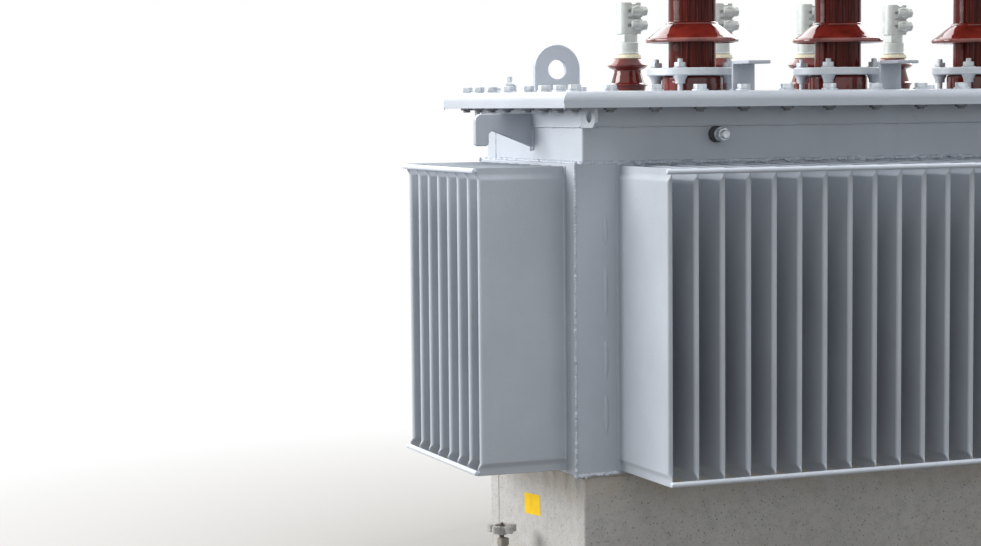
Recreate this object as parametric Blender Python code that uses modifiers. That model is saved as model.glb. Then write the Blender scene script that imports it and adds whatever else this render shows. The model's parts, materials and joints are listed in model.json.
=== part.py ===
"""Oil-filled distribution transformer with corrugated cooling walls, in metres, +Z up.

The origin is on the ground under the middle of the tank. The long side runs along X,
the high-voltage bushings stand along the front (-Y) and the low-voltage ones along the back.
"""
import math

import bmesh
import bpy
from mathutils import Matrix, Vector

# Clearance between pieces that touch, and the overrun of every cut
SEAT_GAP = 0.0003
CUT_OVERRUN = 0.004
WELD_DISTANCE = 0.00002

# Tank: tray-shaped lid, neck, fin band and lower box
NECK_LENGTH = 1.135
NECK_DEPTH = 0.443
NECK_SHOWN = 0.096
LID_OVERHANG_SIDE = 0.0625
LID_OVERHANG_FRONT = 0.0675
LID_RIM_HEIGHT = 0.0285
LID_SHEET = 0.006
LID_BEND_RADIUS = 0.010
LID_BEND_STEPS = 4
FLANGE_THICKNESS = 0.016
FLANGE_CLEARANCE = 0.002
COLLAR_PROUD = 0.00225
COLLAR_DROP = 0.033
BODY_PROUD_SIDE = 0.014
BODY_PROUD_FRONT = 0.001
BODY_OVER_FINS = 0.0049
BODY_UNDER_FINS = 0.0066
FIN_HEIGHT = 0.537
LOWER_HEIGHT = 0.215
BOTTOM_PLATE_THICKNESS = 0.006
BOTTOM_PLATE_LIP = 0.007
SKID_HEIGHT = 0.062
SKID_WIDTH = 0.080
SKID_WALL = 0.008
SKID_SPACING = 0.700

# Corrugated walls
FIN_PITCH = 0.0495
FIN_THICKNESS = 0.011
FIN_PINCHED_THICKNESS = 0.0035
FIN_PINCH_HEIGHT = 0.024
FIN_FLARE = 0.0045
FIN_EDGE_ROUND = 0.0045
SIDE_FIN_COUNT = 8
SIDE_FIN_DEPTH = 0.162
FRONT_FIN_COUNT = 21
FRONT_FIN_DEPTH = 0.196
WALL_SHEET = 0.003
WALL_MARGIN = 0.002
ROD_RADIUS = 0.0045
ROD_SEGMENTS = 6
ROD_WELD = 0.0018
ROD_INSET = 0.0055
ROD_OVERHANG = 0.0035

# Lifting eyes on the lid
EYE_INSET = 0.111
EYE_WIDTH = 0.090
EYE_THICKNESS = 0.012
EYE_HOLE_RADIUS = 0.0175
EYE_HOLE_HEIGHT = 0.0415

# Hooks on the narrow sides of the neck
HOOK_REACH = 0.113
HOOK_THICKNESS = 0.012
HOOK_TOP_DROP = 0.0096
HOOK_TIP_LENGTH = 0.058
HOOK_TIP_WIDTH = 0.026
HOOK_TIP_ROUND = 0.006
HOOK_BAND = 0.031
HOOK_ROOT_HEIGHT = 0.062
HOOK_CORNER_RADIUS = 0.0135
HOOK_NOTCH_RADIUS = 0.009

# Lashing lugs at the corners of the neck, level with the collar's face
LUG_LENGTH = 0.056
LUG_DROP = 0.0345
LUG_THICKNESS = 0.0065
LUG_CHAMFER = 0.009
LUG_HOLE_RADIUS = 0.011
LUG_HOLE_REACH = 0.032
LUG_HOLE_DROP = 0.0143

# High-voltage bushings
HV_COUNT = 3
HV_SPACING = 0.303
HV_FROM_FRONT = 0.1676
HV_SKIRT_RADIUS = 0.0545
HV_SKIRT_HEIGHT = 0.027
HV_SKIRT_ROUND = 0.005
HV_CORE_RADIUS = 0.0428
HV_SHED_COUNT = 4
HV_SHED_RADIUS = 0.084
HV_SHED_PITCH = 0.100
HV_FIRST_SHED = 0.0865
HV_SHED_RISE = 0.0295
HV_SHED_RIM = 0.007
HV_SHED_UNDERCUT = 0.006
HV_SHED_RIDGE = 0.0035
HV_HEAD_HEIGHT = 0.045
HV_HEAD_RADIUS = 0.034
HV_SEGMENTS = 20
RING_RADIUS = 0.082
RING_BORE_CLEARANCE = 0.003
RING_THICKNESS = 0.0137
RING_EDGE = 0.0015
RING_STUD_COUNT = 4
RING_STUD_CIRCLE = 0.0685
RING_STUD_RADIUS = 0.005
RING_STUD_END = 0.0065
RING_BOSS_RADIUS = 0.0133
RING_BOSS_TIP_RADIUS = 0.009
RING_BOSS_CONE = 0.009
RING_BOSS_HEIGHT = 0.0145
RING_NUT_RADIUS = 0.0115
RING_NUT_HEIGHT = 0.010
RING_STUD_SEGMENTS = 6
HV_CAP_RADIUS = 0.036
HV_CAP_HEIGHT = 0.022
HV_STUD_RADIUS = 0.008
HV_STUD_HEIGHT = 0.052
HV_NUT_RADIUS = 0.016
HV_NUT_HEIGHT = 0.013

# Low-voltage bushings: gasket, flared base, waist, shed and head ring
LV_COUNT = 4
LV_SPACING = 0.197
LV_GROUP_SHIFT = -0.0155
LV_FROM_BACK = 0.154
LV_GASKET_RADIUS = 0.033
LV_GASKET_HEIGHT = 0.003
LV_BASE_RADIUS = 0.034
LV_BASE_RIM_RADIUS = 0.038
LV_BASE_RIM_LOW = 0.0115
LV_BASE_RIM_HIGH = 0.0145
LV_BASE_NECK_RADIUS = 0.032
LV_BASE_TOP = 0.0165
LV_WAIST_RADIUS = 0.0255
LV_WAIST_LEVEL = 0.042
LV_SHED_RADIUS = 0.0385
LV_SHED_UNDER_RADIUS = 0.036
LV_SHED_UNDERSIDE = 0.0455
LV_SHED_LOW = 0.0475
LV_SHED_HIGH = 0.0495
LV_HEAD_LEVEL = 0.0635
LV_HEAD_RADIUS = 0.023
LV_HEIGHT = 0.0715
LV_SEGMENTS = 16
LV_NUT_RADIUS = 0.0205
LV_NUT_HEIGHT = 0.023
LV_HEX_RADIUS = 0.0197
LV_HEX_HEIGHT = 0.0157
LV_CLAMP_WIDTH = 0.046
LV_CLAMP_DEPTH = 0.038
LV_CLAMP_HEIGHT = 0.060
LV_CLAMP_ROUND = 0.012
LV_CLAMP_SHIFT = 0.002
LV_BOLT_LEVELS = (0.017, 0.043)
LV_BOLT_OUT = 0.010
LV_BOSS_RADIUS = 0.0115
LV_BOSS_END = 0.027
LV_BOLT_HEAD_RADIUS = 0.0100
LV_BOLT_HEAD_LENGTH = 0.0085

# Thermometer pocket, lid brackets and earthing bolt
POCKET_FROM_LEFT = 0.095
POCKET_FROM_BACK = 0.100
POCKET_RADIUS = 0.0147
POCKET_HEIGHT = 0.021
POCKET_SHOULDER = 0.005
POCKET_HEX_RADIUS = 0.0068
POCKET_HEX_HEIGHT = 0.010
BRACKET_WIDTH = 0.044
BRACKET_THICKNESS = 0.006
BRACKET_HEIGHT = 0.052
BRACKET_REACH = 0.064
BRACKET_FROM_FRONT = 0.060
BRACKET_FROM_BUSHING = 0.048
EARTH_FROM_LEFT = 0.2595
EARTH_DROP = 0.0487
EARTH_BOSS_RADIUS = 0.0145
EARTH_BOSS_LENGTH = 0.012
EARTH_STUD_RADIUS = 0.0078
EARTH_STUD_LENGTH = 0.042
EARTH_NUT_RADIUS = 0.0125
EARTH_NUT_START = 0.024
EARTH_NUT_LENGTH = 0.010

# Drain valve on the left side of the lower box
VALVE_HEIGHT = 0.024
VALVE_STEM_REACH = 0.066
VALVE_PIPE_RADIUS = 0.0105
VALVE_FLANGE_RADIUS = 0.0165
VALVE_FLANGE_LENGTH = 0.012
VALVE_BODY_RADIUS = 0.0125
VALVE_BODY_LENGTH = 0.044
VALVE_HEX_RADIUS = 0.0165
VALVE_HEX_LENGTH = 0.010
VALVE_NOSE_LENGTH = 0.014
VALVE_NOSE_RADIUS = 0.0135
VALVE_BONNET_RADIUS = 0.0085
VALVE_BONNET_HEIGHT = 0.0415
VALVE_GLAND_RADIUS = 0.0115
VALVE_GLAND_HEIGHT = 0.009
VALVE_SEGMENTS = 16
PLUG_COLLAR_RADIUS = 0.0150
PLUG_COLLAR_LENGTH = 0.006
PLUG_HEX_RADIUS = 0.0090
PLUG_HEX_LENGTH = 0.012
STEM_RADIUS = 0.0045
STEM_SOCKET_DEPTH = 0.012
STEM_HEIGHT = 0.0105
WHEEL_RADIUS = 0.0285
WHEEL_LOBE = 0.0045
WHEEL_LOBE_COUNT = 5
WHEEL_THICKNESS = 0.012
WHEEL_HUB_RADIUS = 0.010
WHEEL_HUB_HEIGHT = 0.005

# Levels that follow from the sizes above
PLATE_BOTTOM = SKID_HEIGHT + SEAT_GAP
PLATE_TOP = PLATE_BOTTOM + BOTTOM_PLATE_THICKNESS
LOWER_BOTTOM = PLATE_TOP + SEAT_GAP
LOWER_TOP = LOWER_BOTTOM + LOWER_HEIGHT
BODY_BOTTOM = LOWER_TOP + SEAT_GAP
FIN_BOTTOM = BODY_BOTTOM + BODY_UNDER_FINS
FIN_TOP = FIN_BOTTOM + FIN_HEIGHT
BODY_TOP = FIN_TOP + BODY_OVER_FINS
NECK_BOTTOM = BODY_TOP + SEAT_GAP
RIM_BOTTOM = NECK_BOTTOM + NECK_SHOWN
LID_TOP = RIM_BOTTOM + LID_RIM_HEIGHT
ON_LID = LID_TOP + SEAT_GAP
FLANGE_TOP = LID_TOP - LID_SHEET - SEAT_GAP
FLANGE_BOTTOM = FLANGE_TOP - FLANGE_THICKNESS
NECK_TOP = FLANGE_TOP
COLLAR_BOTTOM = RIM_BOTTOM - COLLAR_DROP
LID_LENGTH = NECK_LENGTH + 2 * LID_OVERHANG_SIDE
LID_DEPTH = NECK_DEPTH + 2 * LID_OVERHANG_FRONT
BODY_LENGTH = NECK_LENGTH + 2 * BODY_PROUD_SIDE
BODY_DEPTH = NECK_DEPTH + 2 * BODY_PROUD_FRONT
VALVE_LEVEL = LOWER_BOTTOM + VALVE_HEIGHT

PAINT = (0.40, 0.43, 0.46)
TANK_PAINT = (0.50, 0.51, 0.52)
PORCELAIN = (0.12, 0.012, 0.008)
ZINC = (0.55, 0.55, 0.53)
TERMINAL_WHITE = (0.62, 0.65, 0.62)
VALVE_GREY = (0.36, 0.36, 0.34)
SKID_GREY = (0.42, 0.41, 0.39)


def clear_scene():
    for item in list(bpy.data.objects):
        bpy.data.objects.remove(item, do_unlink=True)


def make_collection(name):
    group = bpy.data.collections.new(name)
    bpy.context.scene.collection.children.link(group)
    return group


def make_material(name, colour, roughness, metallic):
    material = bpy.data.materials.new(name)
    material.use_nodes = True
    shader = material.node_tree.nodes["Principled BSDF"]
    shader.inputs["Base Color"].default_value = (*colour, 1)
    shader.inputs["Roughness"].default_value = roughness
    shader.inputs["Metallic"].default_value = metallic
    return material


def place(item, group, colour=None, roughness=0.5, metallic=0):
    group.objects.link(item)
    if colour is not None:
        item.data.materials.append(make_material(item.name + "_finish", colour, roughness, metallic))
    return item


def mesh_object(name, work):
    mesh = bpy.data.meshes.new(name)
    work.to_mesh(mesh)
    work.free()
    return bpy.data.objects.new(name, mesh)


def box(name, size, centre):
    """A box of the given size round a centre; the place stays in the object's location."""
    work = bmesh.new()
    bmesh.ops.create_cube(work, size=1)
    bmesh.ops.scale(work, vec=Vector(size), verts=work.verts)
    item = mesh_object(name, work)
    item.location = centre
    return item


def rod(name, radius, length, centre, axis="Z", segments=24, tip_radius=None):
    """A cylinder, or a cone towards +axis when tip_radius is given."""
    work = bmesh.new()
    tip = radius if tip_radius is None else tip_radius
    bmesh.ops.create_cone(work, cap_ends=True, segments=segments, radius1=radius, radius2=tip, depth=length)
    item = mesh_object(name, work)
    item.location = centre
    item.rotation_euler = {"X": (0, math.radians(90), 0), "Y": (math.radians(90), 0, 0), "Z": (0, 0, 0)}[axis]
    return item


def turned(name, profile, segments, centre):
    """A solid of revolution about Z. The profile holds (radius, height) pairs, top to bottom."""
    mesh = bpy.data.meshes.new(name)
    points = [(radius, 0, height) for radius, height in profile]
    mesh.from_pydata(points, [(k, k + 1) for k in range(len(points) - 1)], [])
    item = bpy.data.objects.new(name, mesh)
    item.location = centre
    screw = item.modifiers.new("turn", "SCREW")
    screw.steps = segments
    screw.render_steps = segments
    screw.use_merge_vertices = True
    screw.merge_threshold = WELD_DISTANCE
    return item


def plate(name, outlines, thickness, centre, turn):
    """A flat plate from closed outlines; later outlines are holes in the first."""
    curve = bpy.data.curves.new(name, "CURVE")
    curve.dimensions = "2D"
    curve.fill_mode = "BOTH"
    curve.extrude = thickness / 2
    for outline in outlines:
        spline = curve.splines.new("POLY")
        spline.points.add(len(outline) - 1)
        for point, (across, up) in zip(spline.points, outline):
            point.co = (across, up, 0, 1)
        spline.use_cyclic_u = True
    item = bpy.data.objects.new(name, curve)
    item.location = centre
    item.rotation_euler = turn
    return item


def solid_from(item, name):
    """A closed mesh object made from a curve object, whose caps are welded to its sides."""
    scratch = bpy.context.scene.collection
    scratch.objects.link(item)
    bpy.context.view_layer.update()
    evaluated = item.evaluated_get(bpy.context.evaluated_depsgraph_get())
    work = bmesh.new()
    work.from_mesh(bpy.data.meshes.new_from_object(evaluated))
    bmesh.ops.remove_doubles(work, verts=work.verts, dist=WELD_DISTANCE)
    solid = mesh_object(name, work)
    solid.matrix_world = item.matrix_world
    bpy.data.objects.remove(item, do_unlink=True)
    return solid


def arc(centre, radius, start, end, steps):
    """Points along an arc, both ends included, angles in degrees."""
    points = []
    for k in range(steps + 1):
        angle = math.radians(start + (end - start) * k / steps)
        points.append((centre[0] + radius * math.cos(angle), centre[1] + radius * math.sin(angle)))
    return points


def circle(centre, radius, steps):
    return arc(centre, radius, 0, 360, steps)[:-1]


def boolean(item, tool, operation, cutters):
    """Join a tool to an item or cut it out; the tool stays in the cutters' collection."""
    step = item.modifiers.new(tool.name, "BOOLEAN")
    step.operation = operation
    step.solver = "EXACT"
    step.object = tool
    tool.hide_render = True
    tool.display_type = "WIRE"
    cutters.objects.link(tool)


def build_skids(parts):
    """Two channels across the bottom, their open side facing inwards."""
    for side, name in ((-1, "skid_left"), (1, "skid_right")):
        half = SKID_WIDTH / 2
        inner = half - SKID_WALL
        low = SKID_WALL
        outline = [(-half, 0), (half, 0), (half, low), (-inner, low),
                   (-inner, SKID_HEIGHT - low), (half, SKID_HEIGHT - low), (half, SKID_HEIGHT), (-half, SKID_HEIGHT)]
        turn = (math.radians(90), 0, 0 if side < 0 else math.radians(180))
        item = plate(name, [outline], NECK_DEPTH, (side * SKID_SPACING / 2, 0, 0), turn)
        place(item, parts, SKID_GREY, 0.7)


def build_tank(parts, cutters):
    lip = 2 * BOTTOM_PLATE_LIP
    size = (NECK_LENGTH + lip, NECK_DEPTH + lip, BOTTOM_PLATE_THICKNESS)
    place(box("bottom_plate", size, (0, 0, (PLATE_BOTTOM + PLATE_TOP) / 2)), parts, TANK_PAINT, 0.55)
    size = (NECK_LENGTH, NECK_DEPTH, LOWER_HEIGHT)
    place(box("lower_tank", size, (0, 0, (LOWER_BOTTOM + LOWER_TOP) / 2)), parts, TANK_PAINT, 0.55)
    size = (BODY_LENGTH, BODY_DEPTH, BODY_TOP - BODY_BOTTOM)
    place(box("body_frame", size, (0, 0, (BODY_BOTTOM + BODY_TOP) / 2)), parts, PAINT, 0.45)
    size = (NECK_LENGTH, NECK_DEPTH, NECK_TOP - NECK_BOTTOM)
    place(box("neck", size, (0, 0, (NECK_BOTTOM + NECK_TOP) / 2)), parts, PAINT, 0.45)
    build_flange(parts, cutters)
    build_lid(parts, cutters)


def build_flange(parts, cutters):
    """The bolting frame inside the lid's rim, with its collar down the neck."""
    rim = 2 * (LID_SHEET + FLANGE_CLEARANCE)
    middle = (0, 0, (FLANGE_BOTTOM + FLANGE_TOP) / 2)
    flange = box("tank_flange", (LID_LENGTH - rim, LID_DEPTH - rim, FLANGE_THICKNESS), middle)
    proud = 2 * (COLLAR_PROUD + SEAT_GAP)
    height = FLANGE_TOP - COLLAR_BOTTOM - FLANGE_THICKNESS / 2
    collar = box("collar", (NECK_LENGTH + proud, NECK_DEPTH + proud, height), (0, 0, COLLAR_BOTTOM + height / 2))
    boolean(flange, collar, "UNION", cutters)
    size = (NECK_LENGTH + 2 * SEAT_GAP, NECK_DEPTH + 2 * SEAT_GAP, FLANGE_TOP - COLLAR_BOTTOM + 2 * CUT_OVERRUN)
    boolean(flange, box("flange_opening", size, (0, 0, (COLLAR_BOTTOM + FLANGE_TOP) / 2)), "DIFFERENCE", cutters)
    place(flange, parts, PAINT, 0.45)


def build_lid(parts, cutters):
    """A sheet whose rim is folded down all round, with bent upper edges."""
    work = bmesh.new()
    bmesh.ops.create_cube(work, size=1)
    bmesh.ops.scale(work, vec=(LID_LENGTH, LID_DEPTH, LID_RIM_HEIGHT), verts=work.verts)
    upper = [edge for edge in work.edges if all(vert.co.z > 0 for vert in edge.verts)]
    bmesh.ops.bevel(work, geom=upper, offset=LID_BEND_RADIUS, segments=LID_BEND_STEPS, profile=0.5,
                    affect="EDGES", offset_type="OFFSET")
    lid = mesh_object("lid", work)
    lid.location = (0, 0, RIM_BOTTOM + LID_RIM_HEIGHT / 2)
    height = LID_RIM_HEIGHT - LID_SHEET + CUT_OVERRUN
    size = (LID_LENGTH - 2 * LID_SHEET, LID_DEPTH - 2 * LID_SHEET, height)
    hollow = box("lid_hollow", size, (0, 0, LID_TOP - LID_SHEET - height / 2))
    boolean(lid, hollow, "DIFFERENCE", cutters)
    place(lid, parts, PAINT, 0.45)


def wall_outline(count, depth, thickness, flare):
    """Plan of a corrugated wall: x along the wall, y outwards, from the back of its sheet."""
    half_span = (count - 1) * FIN_PITCH / 2
    end = half_span + FIN_THICKNESS / 2 + WALL_MARGIN
    half = thickness / 2
    tip = depth + flare
    corner = min(FIN_EDGE_ROUND, half * 0.8)
    points = [(-end, 0), (-end, WALL_SHEET)]
    for k in range(count):
        middle = -half_span + k * FIN_PITCH
        points += [(middle - half, WALL_SHEET), (middle - half, tip - corner), (middle - half + corner, tip)]
        points += [(middle + half - corner, tip), (middle + half, tip - corner), (middle + half, WALL_SHEET)]
    return points + [(end, WALL_SHEET), (end, 0)]


def fin_wall(name, count, depth, cutters):
    """One folded wall: fins that are pinched shut at both ends, and the bars across their edges."""
    sections = ((FIN_BOTTOM, FIN_PINCHED_THICKNESS, FIN_FLARE),
                (FIN_BOTTOM + FIN_PINCH_HEIGHT, FIN_THICKNESS, 0),
                (FIN_TOP - FIN_PINCH_HEIGHT, FIN_THICKNESS, 0),
                (FIN_TOP, FIN_PINCHED_THICKNESS, FIN_FLARE))
    work = bmesh.new()
    rings = []
    for level, thickness, flare in sections:
        outline = wall_outline(count, depth, thickness, flare)
        rings.append([work.verts.new((x, -y, level)) for x, y in outline])
    for lower, upper in zip(rings, rings[1:]):
        for k in range(len(lower)):
            after = (k + 1) % len(lower)
            work.faces.new((lower[k], lower[after], upper[after], upper[k]))
    work.faces.new(rings[0][::-1])
    work.faces.new(rings[-1])
    bmesh.ops.recalc_face_normals(work, faces=work.faces)
    wall = mesh_object(name, work)
    length = (count - 1) * FIN_PITCH + 2 * ROD_OVERHANG
    out = depth + FIN_FLARE + ROD_RADIUS - ROD_WELD
    for end, level in (("top", FIN_TOP - ROD_INSET), ("bottom", FIN_BOTTOM + ROD_INSET)):
        bar = rod(name + "_bar_" + end, ROD_RADIUS, length, (0, -out, level), "X", ROD_SEGMENTS)
        bar.parent = wall
        boolean(wall, bar, "UNION", cutters)
    return wall


def build_fin_walls(parts, cutters):
    front = BODY_DEPTH / 2 + SEAT_GAP
    side = BODY_LENGTH / 2 + SEAT_GAP
    walls = (("fins_front", FRONT_FIN_COUNT, FRONT_FIN_DEPTH, (0, -front, 0), 0),
             ("fins_back", FRONT_FIN_COUNT, FRONT_FIN_DEPTH, (0, front, 0), 180),
             ("fins_left", SIDE_FIN_COUNT, SIDE_FIN_DEPTH, (-side, 0, 0), -90),
             ("fins_right", SIDE_FIN_COUNT, SIDE_FIN_DEPTH, (side, 0, 0), 90))
    for name, count, depth, middle, turn in walls:
        wall = fin_wall(name, count, depth, cutters)
        wall.location = middle
        wall.rotation_euler = (0, 0, math.radians(turn))
        place(wall, parts, PAINT, 0.45)


def build_lifting_eyes(parts):
    half = EYE_WIDTH / 2
    outline = [(-half, 0), (half, 0)] + arc((0, EYE_HOLE_HEIGHT), half, 0, 180, 20)
    hole = circle((0, EYE_HOLE_HEIGHT), EYE_HOLE_RADIUS, 24)
    for side, name in ((-1, "lifting_eye_left"), (1, "lifting_eye_right")):
        middle = (side * (LID_LENGTH / 2 - EYE_INSET), 0, ON_LID)
        item = plate(name, [outline, hole], EYE_THICKNESS, middle, (math.radians(90), 0, 0))
        place(item, parts, PAINT, 0.45)


def hook_outline():
    """Side view of a hook: x outwards from the neck, y up from the underside of its top edge."""
    tip_inner = HOOK_REACH - HOOK_TIP_WIDTH
    notch = (tip_inner - HOOK_NOTCH_RADIUS, -HOOK_BAND - HOOK_NOTCH_RADIUS)
    collar_end = COLLAR_BOTTOM - SEAT_GAP - (RIM_BOTTOM - HOOK_TOP_DROP)
    collar_face = COLLAR_PROUD + SEAT_GAP
    low = -HOOK_TIP_LENGTH
    points = [(collar_face, 0), (collar_face, collar_end), (0, collar_end), (0, -HOOK_ROOT_HEIGHT)]
    points += arc(notch, HOOK_NOTCH_RADIUS, 90, 0, 4)
    points += arc((tip_inner + HOOK_TIP_ROUND, low + HOOK_TIP_ROUND), HOOK_TIP_ROUND, 180, 270, 3)
    points += arc((HOOK_REACH - HOOK_TIP_ROUND, low + HOOK_TIP_ROUND), HOOK_TIP_ROUND, 270, 360, 3)
    points += arc((HOOK_REACH - HOOK_CORNER_RADIUS, -HOOK_CORNER_RADIUS), HOOK_CORNER_RADIUS, 0, 90, 5)
    return points


def build_hooks(parts):
    wall = NECK_LENGTH / 2 + SEAT_GAP
    level = RIM_BOTTOM - HOOK_TOP_DROP
    for side, name in ((-1, "lifting_hook_left"), (1, "lifting_hook_right")):
        turn = (math.radians(90), 0, math.radians(180) if side < 0 else 0)
        item = plate(name, [hook_outline()], HOOK_THICKNESS, (side * wall, 0, level), turn)
        place(item, parts, PAINT, 0.45)


def build_lashing_lugs(parts):
    top = FLANGE_BOTTOM - SEAT_GAP - RIM_BOTTOM
    outline = [(0, top), (LUG_LENGTH, top), (LUG_LENGTH, LUG_CHAMFER - LUG_DROP),
               (LUG_LENGTH - LUG_CHAMFER, -LUG_DROP), (0, -LUG_DROP)]
    hole = circle((LUG_HOLE_REACH, -LUG_HOLE_DROP), LUG_HOLE_RADIUS, 16)
    collar = COLLAR_PROUD + SEAT_GAP
    across = NECK_LENGTH / 2 + collar - LUG_THICKNESS / 2
    out = NECK_DEPTH / 2 + collar + SEAT_GAP
    for row, back in (("front", -1), ("back", 1)):
        for column, side in (("left", -1), ("right", 1)):
            name = "lashing_lug_" + row + "_" + column
            turn = (math.radians(90), 0, math.radians(90 * back))
            item = plate(name, [outline, hole], LUG_THICKNESS, (side * across, back * out, RIM_BOTTOM), turn)
            place(item, parts, PAINT, 0.45)


def hv_profile():
    """Half section of a high-voltage porcelain, top to bottom, heights from the lid."""
    last = HV_FIRST_SHED + (HV_SHED_COUNT - 1) * HV_SHED_PITCH
    top = last + HV_SHED_RISE + HV_HEAD_HEIGHT
    points = [(0, top), (HV_HEAD_RADIUS, top)]
    for k in reversed(range(HV_SHED_COUNT)):
        rim = HV_FIRST_SHED + k * HV_SHED_PITCH
        shoulder = rim + HV_SHED_RISE + HV_SHED_RIM
        points += [(HV_CORE_RADIUS, shoulder), (HV_CORE_RADIUS + HV_SHED_RIDGE, shoulder - HV_SHED_RIDGE)]
        points += [(HV_SHED_RADIUS - HV_SHED_RIM / 2, rim + HV_SHED_RIM)]
        points += [(HV_SHED_RADIUS, rim + HV_SHED_RIM / 2), (HV_SHED_RADIUS - HV_SHED_RIM / 2, rim)]
        points += [(HV_CORE_RADIUS, rim + HV_SHED_UNDERCUT)]
    points += [(HV_CORE_RADIUS, HV_SKIRT_HEIGHT)]
    corner = (HV_SKIRT_RADIUS - HV_SKIRT_ROUND, HV_SKIRT_HEIGHT - HV_SKIRT_ROUND)
    return points + arc(corner, HV_SKIRT_ROUND, 90, 0, 3) + [(HV_SKIRT_RADIUS, 0), (0, 0)]


def ring_stud_profile(ring_low, ring_high):
    """Half section of a ring's stud: end, nut, the ring, cone boss and shank down to the lid."""
    nut = ring_high + RING_NUT_HEIGHT
    return [(0, nut + RING_STUD_END), (RING_STUD_RADIUS, nut + RING_STUD_END), (RING_STUD_RADIUS, nut),
            (RING_NUT_RADIUS, nut), (RING_NUT_RADIUS, ring_high - RING_EDGE),
            (RING_BOSS_RADIUS, ring_low + RING_EDGE), (RING_BOSS_RADIUS, ring_low),
            (RING_BOSS_TIP_RADIUS, ring_low - RING_BOSS_CONE),
            (RING_BOSS_TIP_RADIUS, ring_low - RING_BOSS_HEIGHT), (RING_STUD_RADIUS, ring_low - RING_BOSS_HEIGHT),
            (RING_STUD_RADIUS, 0), (0, 0)]


def build_ring(name, centre, parts, cutters):
    """The clamping ring on a porcelain's skirt, with its studs down to the lid."""
    low = HV_SKIRT_HEIGHT + SEAT_GAP
    high = low + RING_THICKNESS
    bore = HV_CORE_RADIUS + RING_BORE_CLEARANCE
    profile = [(bore, high), (RING_RADIUS - RING_EDGE, high), (RING_RADIUS, high - RING_EDGE),
               (RING_RADIUS, low + RING_EDGE), (RING_RADIUS - RING_EDGE, low), (bore, low), (bore, high)]
    ring = turned(name, profile, HV_SEGMENTS, centre)
    for k in range(RING_STUD_COUNT):
        angle = math.radians(45 + 360 / RING_STUD_COUNT * k)
        x = centre[0] + RING_STUD_CIRCLE * math.cos(angle)
        y = centre[1] + RING_STUD_CIRCLE * math.sin(angle)
        stud = turned(name + "_stud_" + str(k + 1), ring_stud_profile(low, high), RING_STUD_SEGMENTS,
                      (x, y, centre[2]))
        boolean(ring, stud, "UNION", cutters)
    place(ring, parts, ZINC, 0.4, 0.6)


def build_hv_bushings(parts, cutters):
    head = HV_FIRST_SHED + (HV_SHED_COUNT - 1) * HV_SHED_PITCH + HV_SHED_RISE + HV_HEAD_HEIGHT
    for k in range(HV_COUNT):
        x = (k - (HV_COUNT - 1) / 2) * HV_SPACING
        centre = (x, -LID_DEPTH / 2 + HV_FROM_FRONT, ON_LID)
        number = str(k + 1)
        porcelain = turned("hv_porcelain_" + number, hv_profile(), HV_SEGMENTS, centre)
        place(porcelain, parts, PORCELAIN, 0.15)
        build_ring("hv_clamp_ring_" + number, centre, parts, cutters)
        nut = HV_CAP_HEIGHT + HV_NUT_HEIGHT
        profile = [(0, HV_STUD_HEIGHT), (HV_STUD_RADIUS, HV_STUD_HEIGHT), (HV_STUD_RADIUS, nut),
                   (HV_NUT_RADIUS, nut), (HV_NUT_RADIUS, HV_CAP_HEIGHT), (HV_CAP_RADIUS, HV_CAP_HEIGHT),
                   (HV_CAP_RADIUS, 0), (0, 0)]
        seat = (centre[0], centre[1], centre[2] + head + SEAT_GAP)
        place(turned("hv_terminal_" + number, profile, HV_SEGMENTS, seat), parts, ZINC, 0.35, 0.8)


def lv_profile():
    """Half section of a low-voltage porcelain on its gasket, top to bottom, heights from the lid."""
    return [(0, LV_HEIGHT), (LV_HEAD_RADIUS, LV_HEIGHT), (LV_WAIST_RADIUS, LV_HEAD_LEVEL),
            (LV_SHED_RADIUS, LV_SHED_HIGH), (LV_SHED_RADIUS, LV_SHED_LOW),
            (LV_SHED_UNDER_RADIUS, LV_SHED_UNDERSIDE), (LV_WAIST_RADIUS, LV_WAIST_LEVEL),
            (LV_BASE_NECK_RADIUS, LV_BASE_TOP), (LV_BASE_RIM_RADIUS, LV_BASE_RIM_HIGH),
            (LV_BASE_RIM_RADIUS, LV_BASE_RIM_LOW), (LV_BASE_RADIUS, LV_GASKET_HEIGHT),
            (LV_GASKET_RADIUS, LV_GASKET_HEIGHT), (LV_GASKET_RADIUS, 0), (0, 0)]


def clamp_outline():
    """Front view of a terminal clamp's block, from its lower edge up to the rounded top."""
    half = LV_CLAMP_WIDTH / 2
    low = -LV_CLAMP_HEIGHT / 2
    inner = half - LV_CLAMP_ROUND
    top = LV_CLAMP_HEIGHT / 2 - LV_CLAMP_ROUND
    return [(-half, low), (half, low)] + arc((inner, top), LV_CLAMP_ROUND, 0, 90, 4) + \
        arc((-inner, top), LV_CLAMP_ROUND, 90, 180, 4)


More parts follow.
